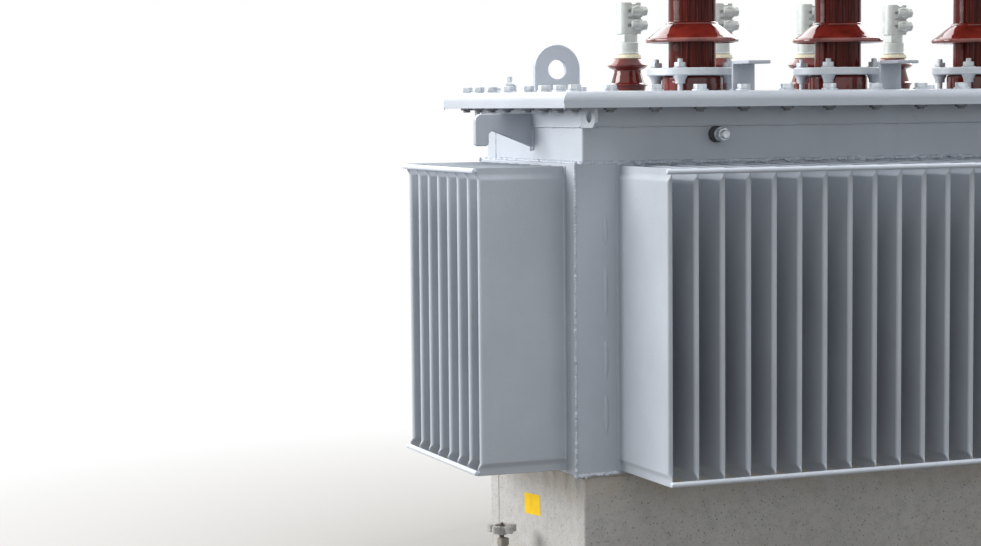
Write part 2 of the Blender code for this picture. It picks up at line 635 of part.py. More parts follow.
def build_lv_terminal(name, seat, parts, cutters):
    """Round nut, hexagon, and the clamp block with its two crosswise clamping bolts."""
    hex_top = LV_NUT_HEIGHT + LV_HEX_HEIGHT
    profile = [(0, hex_top), (LV_HEX_RADIUS, hex_top), (LV_HEX_RADIUS, LV_NUT_HEIGHT),
               (LV_NUT_RADIUS, LV_NUT_HEIGHT), (LV_NUT_RADIUS, 0), (0, 0)]
    terminal = turned(name, profile, LV_SEGMENTS, seat)
    clamp_low = seat[2] + hex_top - SEAT_GAP
    middle = (seat[0] + LV_CLAMP_SHIFT, seat[1], clamp_low + LV_CLAMP_HEIGHT / 2)
    curve = plate(name + "_curve", [clamp_outline()], LV_CLAMP_DEPTH, middle, (math.radians(90), 0, 0))
    boolean(terminal, solid_from(curve, name + "_block"), "UNION", cutters)
    for row, level in enumerate(LV_BOLT_LEVELS):
        y = seat[1] - LV_BOLT_OUT
        z = clamp_low + level
        boss = rod(name + "_boss_" + str(row), LV_BOSS_RADIUS, LV_BOSS_END, (seat[0] + LV_BOSS_END / 2, y, z),
                   "X", 12)
        boolean(terminal, boss, "UNION", cutters)
        length = LV_BOLT_HEAD_LENGTH + SEAT_GAP
        head = rod(name + "_head_" + str(row), LV_BOLT_HEAD_RADIUS, length,
                   (seat[0] + LV_BOSS_END - SEAT_GAP + length / 2, y, z), "X", 6)
        boolean(terminal, head, "UNION", cutters)
    place(terminal, parts, TERMINAL_WHITE, 0.5, 0.2)


def build_lv_bushings(parts, cutters):
    for k in range(LV_COUNT):
        x = (k - (LV_COUNT - 1) / 2) * LV_SPACING + LV_GROUP_SHIFT
        centre = (x, LID_DEPTH / 2 - LV_FROM_BACK, ON_LID)
        number = str(k + 1)
        place(turned("lv_porcelain_" + number, lv_profile(), LV_SEGMENTS, centre), parts, PORCELAIN, 0.15)
        seat = (centre[0], centre[1], centre[2] + LV_HEIGHT + SEAT_GAP)
        build_lv_terminal("lv_terminal_" + number, seat, parts, cutters)


def build_pocket(parts, cutters):
    """Threaded pocket for a thermometer, closed by a small hexagon plug."""
    centre = (-LID_LENGTH / 2 + POCKET_FROM_LEFT, LID_DEPTH / 2 - POCKET_FROM_BACK, ON_LID)
    profile = [(0, POCKET_HEIGHT), (POCKET_HEX_RADIUS, POCKET_HEIGHT),
               (POCKET_RADIUS, POCKET_HEIGHT - POCKET_SHOULDER), (POCKET_RADIUS, 0), (0, 0)]
    pocket = turned("thermometer_pocket", profile, VALVE_SEGMENTS, centre)
    length = POCKET_HEX_HEIGHT + POCKET_SHOULDER
    middle = (centre[0], centre[1], centre[2] + POCKET_HEIGHT - POCKET_SHOULDER + length / 2)
    boolean(pocket, rod("pocket_hex", POCKET_HEX_RADIUS, length, middle, "Z", 6), "UNION", cutters)
    place(pocket, parts, ZINC, 0.4, 0.6)


def build_brackets(parts):
    """Upturned angles behind the lid's front edge, their upper leg towards the front."""
    wall = BRACKET_THICKNESS
    top = BRACKET_HEIGHT
    outline = [(0, 0), (wall, 0), (wall, top), (wall - BRACKET_REACH, top), (wall - BRACKET_REACH, top - wall),
               (0, top - wall)]
    for k, name in enumerate(("lid_bracket_left", "lid_bracket_middle", "lid_bracket_right")):
        x = (k - (HV_COUNT - 1) / 2) * HV_SPACING + BRACKET_FROM_BUSHING
        turn = (math.radians(90), 0, math.radians(90))
        item = plate(name, [outline], BRACKET_WIDTH, (x, -LID_DEPTH / 2 + BRACKET_FROM_FRONT, ON_LID), turn)
        place(item, parts, PAINT, 0.45)


def build_earth_stud(parts, cutters):
    """Earthing stud on the front of the neck: boss, threaded shank and nut, along -Y."""
    wall = -NECK_DEPTH / 2 - SEAT_GAP
    level = RIM_BOTTOM - EARTH_DROP
    x = -NECK_LENGTH / 2 + EARTH_FROM_LEFT
    stud = rod("earth_stud", EARTH_BOSS_RADIUS, EARTH_BOSS_LENGTH, (x, wall - EARTH_BOSS_LENGTH / 2, level), "Y")
    start = EARTH_BOSS_LENGTH / 2
    length = EARTH_STUD_LENGTH - start
    shank = rod("earth_shank", EARTH_STUD_RADIUS, length, (x, wall - start - length / 2, level), "Y", 16)
    boolean(stud, shank, "UNION", cutters)
    middle = wall - EARTH_NUT_START - EARTH_NUT_LENGTH / 2
    nut = rod("earth_nut", EARTH_NUT_RADIUS, EARTH_NUT_LENGTH, (x, middle, level), "Y", 6)
    boolean(stud, nut, "UNION", cutters)
    place(stud, parts, ZINC, 0.35, 0.8)


def build_drain_valve(parts, cutters):
    """Valve body along X on the left wall, its bonnet upright, and the plug in its end."""
    wall = -NECK_LENGTH / 2 - SEAT_GAP
    stem = wall - VALVE_STEM_REACH
    nose = stem - VALVE_BODY_LENGTH / 2
    end = nose - VALVE_NOSE_LENGTH
    valve = rod("drain_valve", VALVE_PIPE_RADIUS, wall - nose, ((wall + nose) / 2, 0, VALVE_LEVEL), "X", VALVE_SEGMENTS)
    flange = rod("valve_socket", VALVE_FLANGE_RADIUS, VALVE_FLANGE_LENGTH,
                 (wall - VALVE_FLANGE_LENGTH / 2, 0, VALVE_LEVEL), "X", 6)
    boolean(valve, flange, "UNION", cutters)
    body = rod("valve_body", VALVE_BODY_RADIUS, VALVE_BODY_LENGTH, (stem, 0, VALVE_LEVEL), "X", VALVE_SEGMENTS)
    boolean(valve, body, "UNION", cutters)
    collar = stem + VALVE_BODY_LENGTH / 2 - VALVE_HEX_LENGTH / 2 + SEAT_GAP
    hexagon = rod("valve_hex", VALVE_HEX_RADIUS, VALVE_HEX_LENGTH, (collar, 0, VALVE_LEVEL), "X", 6)
    boolean(valve, hexagon, "UNION", cutters)
    length = VALVE_NOSE_LENGTH + SEAT_GAP
    tip = rod("valve_nose", VALVE_NOSE_RADIUS, length, (end + length / 2, 0, VALVE_LEVEL), "X", VALVE_SEGMENTS)
    boolean(valve, tip, "UNION", cutters)
    bonnet = rod("valve_bonnet", VALVE_BONNET_RADIUS, VALVE_BONNET_HEIGHT,
                 (stem, 0, VALVE_LEVEL + VALVE_BONNET_HEIGHT / 2), "Z", VALVE_SEGMENTS)
    boolean(valve, bonnet, "UNION", cutters)
    gland_middle = VALVE_LEVEL + VALVE_BONNET_HEIGHT + VALVE_GLAND_HEIGHT / 2 - SEAT_GAP
    gland = rod("valve_gland", VALVE_GLAND_RADIUS, VALVE_GLAND_HEIGHT, (stem, 0, gland_middle), "Z", 6)
    boolean(valve, gland, "UNION", cutters)
    gland_top = gland_middle + VALVE_GLAND_HEIGHT / 2
    depth = STEM_SOCKET_DEPTH + CUT_OVERRUN
    socket = rod("stem_socket", STEM_RADIUS + SEAT_GAP, depth,
                 (stem, 0, gland_top + CUT_OVERRUN - depth / 2), "Z", VALVE_SEGMENTS)
    boolean(valve, socket, "DIFFERENCE", cutters)
    place(valve, parts, VALVE_GREY, 0.5, 0.5)
    plug_middle = end - SEAT_GAP - PLUG_COLLAR_LENGTH / 2
    plug = rod("drain_plug", PLUG_COLLAR_RADIUS, PLUG_COLLAR_LENGTH, (plug_middle, 0, VALVE_LEVEL), "X", VALVE_SEGMENTS)
    hex_middle = plug_middle - PLUG_COLLAR_LENGTH / 2 - PLUG_HEX_LENGTH / 2 + SEAT_GAP
    boolean(plug, rod("plug_hex", PLUG_HEX_RADIUS, PLUG_HEX_LENGTH, (hex_middle, 0, VALVE_LEVEL), "X", 6),
            "UNION", cutters)
    place(plug, parts, ZINC, 0.5, 0.5)
    build_handwheel((stem, 0, gland_top), parts, cutters)


def build_handwheel(gland, parts, cutters):
    """Lobed wheel on its stem. The object's origin is on the stem's axis, at the gland's top."""
    work = bmesh.new()
    steps = WHEEL_LOBE_COUNT * 8
    rim = []
    for k in range(steps):
        angle = 2 * math.pi * k / steps
        radius = WHEEL_RADIUS + WHEEL_LOBE * (math.cos(WHEEL_LOBE_COUNT * angle) - 1)
        rim.append(work.verts.new((radius * math.cos(angle), radius * math.sin(angle), STEM_HEIGHT)))
    face = work.faces.new(rim)
    grown = bmesh.ops.extrude_face_region(work, geom=[face])
    raised = [part for part in grown["geom"] if isinstance(part, bmesh.types.BMVert)]
    bmesh.ops.translate(work, verts=raised, vec=(0, 0, WHEEL_THICKNESS))
    bmesh.ops.recalc_face_normals(work, faces=work.faces)
    wheel = mesh_object("handwheel", work)
    wheel.location = gland
    top = STEM_HEIGHT + WHEEL_THICKNESS + WHEEL_HUB_HEIGHT
    low = -STEM_SOCKET_DEPTH + SEAT_GAP
    profile = [(0, top), (WHEEL_HUB_RADIUS, top), (WHEEL_HUB_RADIUS, STEM_HEIGHT - WHEEL_HUB_HEIGHT),
               (STEM_RADIUS, STEM_HEIGHT - WHEEL_HUB_HEIGHT), (STEM_RADIUS, low), (0, low)]
    boolean(wheel, turned("wheel_stem", profile, VALVE_SEGMENTS, gland), "UNION", cutters)
    place(wheel, parts, ZINC, 0.5, 0.5)


def main():
    clear_scene()
    parts = make_collection("distribution_transformer")
    cutters = make_collection("cutters")
    build_skids(parts)
    build_tank(parts, cutters)
    build_fin_walls(parts, cutters)
    build_lifting_eyes(parts)
    build_hooks(parts)
    build_lashing_lugs(parts)
    build_hv_bushings(parts, cutters)
    build_lv_bushings(parts, cutters)
    build_pocket(parts, cutters)
    build_brackets(parts)
    build_earth_stud(parts, cutters)
    build_drain_valve(parts, cutters)


main()
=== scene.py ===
"""Looks of an oil-filled distribution transformer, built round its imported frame.

Laid out as an add-on: settings in property groups, one operator for each group of pieces, one panel.
Lengths are in metres, +Z is up, and the high-voltage bushings face -Y.
"""

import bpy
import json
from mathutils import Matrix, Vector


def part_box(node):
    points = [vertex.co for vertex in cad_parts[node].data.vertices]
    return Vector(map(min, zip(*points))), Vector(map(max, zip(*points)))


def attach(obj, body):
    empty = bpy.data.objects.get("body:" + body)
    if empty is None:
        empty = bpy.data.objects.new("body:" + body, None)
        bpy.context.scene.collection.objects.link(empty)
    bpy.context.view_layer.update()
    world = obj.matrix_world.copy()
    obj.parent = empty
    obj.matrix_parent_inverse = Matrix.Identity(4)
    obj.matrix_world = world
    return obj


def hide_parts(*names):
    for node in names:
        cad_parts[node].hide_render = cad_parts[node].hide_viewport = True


bl_info = {
    "name": "Distribution transformer looks",
    "version": (1, 0, 0),
    "blender": (4, 5, 0),
    "location": "View3D > Sidebar > Transformer",
    "description": "Models the fixings, welds, bushings, valve and finishes of a distribution transformer",
    "category": "Object",
}

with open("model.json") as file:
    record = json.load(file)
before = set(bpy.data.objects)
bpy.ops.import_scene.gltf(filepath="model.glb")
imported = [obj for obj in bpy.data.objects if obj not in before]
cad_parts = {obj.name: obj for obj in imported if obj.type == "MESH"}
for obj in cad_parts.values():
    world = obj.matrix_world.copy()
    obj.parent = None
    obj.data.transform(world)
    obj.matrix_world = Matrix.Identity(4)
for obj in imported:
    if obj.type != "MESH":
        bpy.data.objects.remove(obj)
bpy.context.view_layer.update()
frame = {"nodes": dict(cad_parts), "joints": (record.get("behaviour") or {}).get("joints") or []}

import json
import math

import bpy
from bpy.props import FloatProperty, FloatVectorProperty, IntProperty, PointerProperty
from mathutils import Vector

UP = Vector((0, 0, 1))
FORWARD = Vector((0, -1, 0))
SMOOTH_ANGLE = math.radians(38)
BEVEL_ANGLE = math.radians(32)
WELD_DISTANCE = 0.00001
SEED_SIZE = 0.001
SEAT = 0.0003
SIDES = ("left", "right")
COLOUR = {"subtype": "COLOR", "size": 3, "min": 0, "max": 1}


# Settings

class TransformerFinish(bpy.types.PropertyGroup):
    paint: FloatVectorProperty(name="Tank paint", description="Blue-grey paint of the tank",
                               default=(0.436, 0.471, 0.522), **COLOUR)
    lower: FloatVectorProperty(name="Lower box paint", description="Paler, dusty paint of the lower box",
                               default=(0.490, 0.482, 0.466), **COLOUR)
    dust: FloatVectorProperty(name="Dust", description="Dry dust and splashes near the ground",
                              default=(0.360, 0.300, 0.220), **COLOUR)
    zinc: FloatVectorProperty(name="Zinc", description="Zinc plating of bolts and studs",
                              default=(0.600, 0.640, 0.680), **COLOUR)
    glaze: FloatVectorProperty(name="Glaze", description="Red-brown glaze of the porcelains",
                               default=(0.150, 0.0170, 0.0120), **COLOUR)
    terminal: FloatVectorProperty(name="Terminals", description="Whitish metal of the low-voltage terminals",
                                  default=(0.550, 0.585, 0.560), **COLOUR)
    rubber: FloatVectorProperty(name="Gaskets", description="Cream gaskets under the porcelains",
                                default=(0.800, 0.740, 0.560), **COLOUR)
    cast: FloatVectorProperty(name="Valve metal", description="Dirty cast metal of the drain valve",
                              default=(0.270, 0.255, 0.225), **COLOUR)
    label: FloatVectorProperty(name="Blank label", description="Plain yellow sticker on the lower box",
                               default=(0.950, 0.600, 0.008), **COLOUR)


class TransformerFixings(bpy.types.PropertyGroup):
    head_radius: FloatProperty(name="Head radius", description="Across-corners radius of a bolt head",
                               unit="LENGTH", default=0.0120, min=0.004)
    head_height: FloatProperty(name="Head height", description="Height of a bolt head", unit="LENGTH",
                               default=0.0090, min=0.002)
    washer_radius: FloatProperty(name="Washer radius", description="Radius of the washer", unit="LENGTH",
                                 default=0.0145, min=0.005)
    washer_thickness: FloatProperty(name="Washer thickness", description="Thickness of the washer",
                                    unit="LENGTH", default=0.0025, min=0.0005)
    nut_height: FloatProperty(name="Nut height", description="Height of the nut under the flange",
                              unit="LENGTH", default=0.0100, min=0.002)
    shank_radius: FloatProperty(name="Shank radius", description="Radius of a bolt's thread", unit="LENGTH",
                                default=0.0070, min=0.002)
    shank_end: FloatProperty(name="Shank end", description="Thread that shows under the nut", unit="LENGTH",
                             default=0.0040, min=0)
    rim_inset: FloatProperty(name="Rim inset", description="From the lid's edge to a bolt's axis",
                             unit="LENGTH", default=0.0340, min=0.01)
    long_pitch: FloatProperty(name="Long pitch", description="Bolt pitch along the long sides", unit="LENGTH",
                              default=0.0867, min=0.03)
    long_start: FloatProperty(name="Long start", description="From the middle to the outermost pitched bolt",
                              unit="LENGTH", default=0.5290, min=0.1)
    long_half_count: IntProperty(name="Half count", description="Pitched bolts on each side of the middle",
                                 default=6, min=1)


class TransformerWelds(bpy.types.PropertyGroup):
    scale: FloatProperty(name="Bead scale", description="Thickness of every weld bead, as a factor",
                         default=1.0, min=0.1)
    pitch: FloatProperty(name="Ripple pitch", description="Distance between a bead's ripples", unit="LENGTH",
                         default=0.0058, min=0.002)
    roughness: FloatProperty(name="Unevenness", description="How far a bead wanders", unit="LENGTH",
                             default=0.0024, min=0)


class TransformerStage(bpy.types.PropertyGroup):
    floor: FloatVectorProperty(name="Floor", description="Colour of the plain floor as it is seen",
                               default=(0.36, 0.35, 0.335), **COLOUR)
    bounce: FloatProperty(name="Floor bounce", default=0.45, min=0, max=1,
                          description="Share of the floor's colour that lights the object")
    key: FloatProperty(name="Key lamp", description="Power of the large lamp on the left", unit="POWER",
                       default=355, min=0)
    back: FloatProperty(name="Back lamps", description="Power of each tall lamp behind the object",
                        unit="POWER", default=205, min=0)
    top: FloatProperty(name="Top lamp", description="Power of the soft lamp overhead", unit="POWER",
                       default=130, min=0)
    front: FloatProperty(name="Front lamp", description="Power of the weak lamp in front", unit="POWER",
                         default=32, min=0)
    sky: FloatProperty(name="Sky", description="Strength of the even light from all round",
                       default=0.49, min=0)


# Shapes of bars, bolts, nuts and washers: sides, edge radius, edge steps
BAR = (20, 0.0022, 3)
SMALL_HEX = (6, 0.0008, 2)
RING_NUT = (6, 0.0011, 2)
HEX = (6, 0.0012, 2)
LARGE_HEX = (6, 0.0014, 2)
VALVE_HEX = (6, 0.0016, 2)
FLANGE_NUT = (6, 0.0010, 1)
SHANK = (12, 0.0010, 1)
SCREW = (16, 0.0008, 2)
THIN_WASHER = (24, 0.0003, 1)
LID_WASHER = (24, 0.0004, 1)
FLAT_WASHER = (32, 0.0004, 1)
CLAMP_BOSS = (32, 0.0026, 3)
CLAMP_FACE = (32, 0.0030, 3)


# Modelling helpers

def deselect():
    bpy.ops.object.select_all(action="DESELECT")


def activate(item):
    deselect()
    item.select_set(True)
    bpy.context.view_layer.objects.active = item


def start(kind, **options):
    """Add a primitive with nothing else selected and return it."""
    deselect()
    getattr(bpy.ops.mesh, "primitive_" + kind + "_add")(**options)
    return bpy.context.object


def bake_place():
    bpy.ops.object.transform_apply(location=True, rotation=True, scale=True)


def block(low, high):
    """A box between two corners."""
    low, high = Vector(low), Vector(high)
    item = start("cube", size=1, location=(low + high) / 2, scale=high - low)
    bake_place()
    return item


def cylinder(radius, low, high, sides=32, turn=0):
    """A capped cylinder between two points; turn rolls it about its own axis."""
    low, high = Vector(low), Vector(high)
    along = high - low
    rotation = along.to_track_quat("Z", "Y").to_euler()
    item = start("cylinder", vertices=sides, radius=radius, depth=along.length, location=(low + high) / 2)
    item.rotation_euler = (0, 0, turn)
    bpy.ops.object.transform_apply(location=False, rotation=True, scale=False)
    item.rotation_euler = rotation
    bake_place()
    return item


def extrude(step):
    """In edit mode: extrude what is selected by a step."""
    bpy.ops.mesh.extrude_region_move(TRANSFORM_OT_translate={"value": step})


def trace(points):
    """A chain of edges through the points, by extruding one vertex. It is left in edit mode."""
    item = start("plane", size=SEED_SIZE, location=points[0])
    bake_place()
    bpy.ops.object.mode_set(mode="EDIT")
    bpy.ops.mesh.select_mode(type="VERT")
    bpy.ops.mesh.select_all(action="SELECT")
    bpy.ops.mesh.merge(type="CENTER")
    for before, after in zip(points, points[1:]):
        extrude(Vector(after) - Vector(before))
    return item


def flat_face(outline):
    """One face inside an outline of points. It is left in edit mode, selected."""
    item = trace([*outline, outline[0]])
    bpy.ops.mesh.select_all(action="SELECT")
    bpy.ops.mesh.remove_doubles(threshold=WELD_DISTANCE)
    bpy.ops.mesh.select_all(action="SELECT")
    bpy.ops.mesh.edge_face_add()
    return item


def weld_and_turn_out():
    """In edit mode: merge doubles and point all faces outwards."""
    bpy.ops.mesh.select_all(action="SELECT")
    bpy.ops.mesh.remove_doubles(threshold=WELD_DISTANCE)
    bpy.ops.mesh.normals_make_consistent(inside=False)
    bpy.ops.object.mode_set(mode="OBJECT")


def lathe(profile, centre, axis="Z", steps=48):
    """Spin (radius, distance along the axis) pairs about an axis through the centre."""
    place = {"X": lambda r, t: (t, 0, r), "Y": lambda r, t: (0, t, r), "Z": lambda r, t: (r, 0, t)}[axis]
    pole = {"X": (1, 0, 0), "Y": (0, 1, 0), "Z": (0, 0, 1)}[axis]
    item = trace([Vector(centre) + Vector(place(r, t)) for r, t in profile])
    bpy.ops.mesh.select_all(action="SELECT")
    bpy.ops.mesh.spin(steps=steps, angle=math.tau, center=centre, axis=pole)
    weld_and_turn_out()
    return item


def prism(outline, origin, across, up, depth):
    """A plate: an outline in the plane of across and up, grown along their normal by depth, half each way."""
    across, up = Vector(across), Vector(up)
    normal = across.cross(up)
    first = Vector(origin) - normal * depth / 2
    item = flat_face([first + across * u + up * v for u, v in outline])
    extrude(normal * depth)
    weld_and_turn_out()
    return item


def modify(item, kind, **settings):
    """Add a modifier and apply it at once."""
    activate(item)
    step = item.modifiers.new(kind.lower(), kind)
    for key, value in settings.items():
        setattr(step, key, value)
    bpy.ops.object.modifier_apply(modifier=step.name)
    return item


def soften(item, width, segments=3):
    return modify(item, "BEVEL", width=width, segments=segments, limit_method="ANGLE",
                  angle_limit=BEVEL_ANGLE)


def rod(radius, low, high, shape, turn=0):
    """A cylinder with softened ends, in one of the shapes above."""
    sides, edge, rounds = shape
    return soften(cylinder(radius, low, high, sides, turn), edge, rounds)


def array(item, count, offset):
    """Repeat an item along an offset."""
    return modify(item, "ARRAY", count=count, use_relative_offset=False, use_constant_offset=True,
                  constant_offset_displace=offset)


def cut(item, tool):
    modify(item, "BOOLEAN", operation="DIFFERENCE", solver="EXACT", object=tool)
    bpy.data.objects.remove(tool, do_unlink=True)
    return item


def join(items):
    deselect()
    for item in items:
        item.select_set(True)
    bpy.context.view_layer.objects.active = items[0]
    if len(items) > 1:
        bpy.ops.object.join()
    return items[0]


def copy_to(item, offset):
    """A copy with its own mesh, moved by an offset."""
    twin = item.copy()
    twin.data = item.data.copy()
    bpy.context.scene.collection.objects.link(twin)
    twin.location = offset
    activate(twin)
    bake_place()
    return twin


def spread(item, offsets):
    """Put copies of an item at the offsets and join them; the model itself is removed."""
    made = [copy_to(item, offset) for offset in offsets]
    bpy.data.objects.remove(item, do_unlink=True)
    return join(made)


def settle(item, name, finish, replaced=(), body="tank"):
    """Finish a piece: place in the mesh, normals out, smooth shading, material, and what it rides on."""
    activate(item)
    bake_place()
    bpy.ops.object.mode_set(mode="EDIT")
    weld_and_turn_out()
    bpy.ops.object.shade_smooth_by_angle(angle=SMOOTH_ANGLE)
    modify(item, "WEIGHTED_NORMAL", keep_sharp=True, weight=80)
    item.name = name
    item.data.name = name
    item.data.materials.clear()
    item.data.materials.append(finish)
    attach(item, body)
    if replaced:
        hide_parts(*replaced)
    return item


def arc(centre, radius, first, last, steps):
    """Points on an arc from the first to the last angle, in degrees."""
    angles = [math.radians(first + (last - first) * k / steps) for k in range(steps + 1)]
    return [(centre[0] + radius * math.cos(a), centre[1] + radius * math.sin(a)) for a in angles]


def foot_of(name):
    """The middle of a node's underside."""
    low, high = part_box(name)
    return Vector(((low.x + high.x) / 2, (low.y + high.y) / 2, low.z))


# Materials

def node(tree, kind, sockets=None, **settings):
    """Add a shader node; each socket takes a value or another node's output."""
    item = tree.nodes.new("ShaderNode" + kind)
    for key, value in settings.items():
        setattr(item, key, value)
    for key, value in (sockets or {}).items():
        if isinstance(value, bpy.types.NodeSocket):
            tree.links.new(value, item.inputs[key])
        else:
            item.inputs[key].default_value = value
    return item


def blank(name, **plain):
    """A material with a Principled shader; plain values are set on the shader's own sockets."""
    material = bpy.data.materials.new(name)
    material.use_nodes = True
    tree = material.node_tree
    shader = tree.nodes["Principled BSDF"]
    for key, value in plain.items():
        shader.inputs[key.replace("_", " ").title().replace("Ior", "IOR")].default_value = value
    return material, tree, shader


def place_of(tree, scale=(1, 1, 1), centre=(0, 0, 0)):
    """Object coordinates, centred and scaled."""
    where = node(tree, "TexCoord").outputs["Object"]
    moved = node(tree, "Mapping", {"Vector": where, "Scale": scale,
                                   "Location": [-c * s for c, s in zip(centre, scale)]})
    return moved.outputs["Vector"]


def distance_of(tree, place):
    return node(tree, "VectorMath", {0: place}, operation="LENGTH").outputs["Value"]


def height_of(tree):
    where = node(tree, "TexCoord").outputs["Object"]
    return node(tree, "SeparateXYZ", {"Vector": where}).outputs["Z"]


def noise(tree, vector, scale, detail=3, roughness=0.5):
    item = node(tree, "TexNoise", {"Vector": vector, "Scale": scale, "Detail": detail,
                                   "Roughness": roughness})
    return item.outputs["Fac"]


def ramp(tree, fac, low, high, dark=0.0, light=1.0):
    """Stretch a grey value between two limits."""
    item = node(tree, "MapRange", {"Value": fac, "From Min": low, "From Max": high, "To Min": dark,
                                   "To Max": light})
    return item.outputs["Result"]


def maths(tree, operation, first, second):
    return node(tree, "Math", {0: first, 1: second}, operation=operation).outputs[0]


def mix(tree, fac, first, second):
    item = node(tree, "Mix", data_type="RGBA")
    for key, value in ((0, fac), (6, first), (7, second)):
        if isinstance(value, bpy.types.NodeSocket):
            tree.links.new(value, item.inputs[key])
        else:
            item.inputs[key].default_value = value if key == 0 else (*value[:3], 1)
    return item.outputs[2]


def feed(tree, shader, sockets):
    """Link outputs to the shader's sockets."""
    for key, output in sockets.items():
        tree.links.new(output, shader.inputs[key])


def bump(tree, shader, height, strength, distance):
    item = node(tree, "Bump", {"Height": height, "Strength": strength, "Distance": distance})
    feed(tree, shader, {"Normal": item.outputs["Normal"]})


# Heights between which dust thickens, depths of the dirt under the ledge, where the streaked core ends
# beyond its radius, and where a shed's pale rim (thinner glaze and painted highlight) starts as shares of the
# shed
DUST_LEVELS = (0.20, 0.06)
LEDGE_DIRT = (0.085, 0.004)
CORE_EDGE = (0.0030, 0.0012)
RIM_SHARES = (0.965, 0.985)


def shade(colour, factor):
    return tuple(min(1, c * factor) for c in colour)


def specks(tree, place, scale, size):
    """Sparse ragged specks of unlike sizes, 1 inside a speck."""
    cells = node(tree, "TexVoronoi", {"Vector": place, "Scale": scale})
    ragged = noise(tree, place, scale * 2.6, 4, 0.8)
    ragged = ramp(tree, ragged, 0.32, 0.68, size * -0.65, size * 0.75)
    return ramp(tree, maths(tree, "ADD", cells.outputs["Distance"], ragged), size, size * 0.6)


def weathered(tree, place, colour, tone, speckle):
    """Grain, pale bloom, blotches and two sizes of specks, as strong as speckle says."""
    grains = noise(tree, place, 420, 2, 0.7)
    tone = mix(tree, ramp(tree, grains, 0.54, 0.68, 0, speckle), tone, shade(colour, 0.55))
    pale = noise(tree, place, 230, 3, 0.7)
    tone = mix(tree, ramp(tree, pale, 0.58, 0.72, 0, speckle), tone, shade(colour, 1.30))
    blotches = noise(tree, place, 46, 5, 0.72)
    tone = mix(tree, ramp(tree, blotches, 0.47, 0.60, 0, speckle * 0.8), tone, shade(colour, 0.68))
    for scale, size, amount in ((105, 0.19, 0.75), (170, 0.24, 0.50)):
        dots = ramp(tree, specks(tree, place, scale, size), 0, 1, 0, amount)
        tone = mix(tree, dots, tone, shade(colour, 0.28))
    return tone


def paint_material(name, colour, dust=0.0, speckle=0.0, band=None):
    """Sprayed enamel: faint clouds, runs and orange peel, dust low down and under a ledge at band."""
    dry_dust = bpy.context.scene.transformer_finish.dust
    material, tree, shader = blank(name, roughness=0.42, coat_weight=0.10, coat_roughness=0.25)
    place = place_of(tree)
    clouds = noise(tree, place, 5.5, 4, 0.55)
    tone = mix(tree, ramp(tree, clouds, 0.3, 0.7), shade(colour, 0.93), shade(colour, 1.06))
    streaks = noise(tree, place_of(tree, (26, 26, 1.3)), 1.0, 3, 0.6)
    tone = mix(tree, ramp(tree, streaks, 0.58, 0.80, 0, 0.22), tone, shade(colour, 0.80))
    if speckle:
        tone = weathered(tree, place, colour, tone, speckle)
    marks = noise(tree, place, 34, 5, 0.75)
    tone = mix(tree, ramp(tree, marks, 0.66, 0.74, 0, 0.30), tone, dry_dust)
    if dust:
        low = ramp(tree, height_of(tree), *DUST_LEVELS)
        patches = ramp(tree, noise(tree, place, 16, 5, 0.65), 0.38, 0.68, 0, dust)
        tone = mix(tree, maths(tree, "MULTIPLY", low, patches), tone, dry_dust)
    if band:
        near = ramp(tree, height_of(tree), *(band - below for below in LEDGE_DIRT), 0, 0.85)
        patches = ramp(tree, noise(tree, place, 11, 4, 0.6), 0.34, 0.62)
        tone = mix(tree, maths(tree, "MULTIPLY", near, patches), tone, shade(dry_dust, 1.05))
    rough = ramp(tree, noise(tree, place, 60, 3), 0.3, 0.7, 0.36, 0.52)
    feed(tree, shader, {"Base Color": tone, "Roughness": rough})
    peel = noise(tree, place, 260, 2, 0.5)
    waves = noise(tree, place, 9, 2, 0.4)
    bump(tree, shader, maths(tree, "ADD", peel, waves), 0.10, 0.004)
    return material


def zinc_material(name, colour, tarnish=0.25, metallic=0.55, roughness=0.42, evenness=0.80):
    """Dull plating with a cloudy bloom and grime in its pores."""
    material, tree, shader = blank(name, metallic=metallic)
    place = place_of(tree)
    bloom = noise(tree, place, 90, 4, 0.6)
    tone = mix(tree, ramp(tree, bloom, 0.35, 0.65), shade(colour, evenness), shade(colour, 2 - evenness))
    grime = noise(tree, place, 210, 4, 0.7)
    tone = mix(tree, ramp(tree, grime, 0.56, 0.72, 0, tarnish), tone, (0.10, 0.085, 0.065))
    rough = ramp(tree, bloom, 0.3, 0.7, roughness - 0.1, roughness + 0.15)
    feed(tree, shader, {"Base Color": tone, "Roughness": rough})
    bump(tree, shader, grime, 0.15, 0.001)
    return material


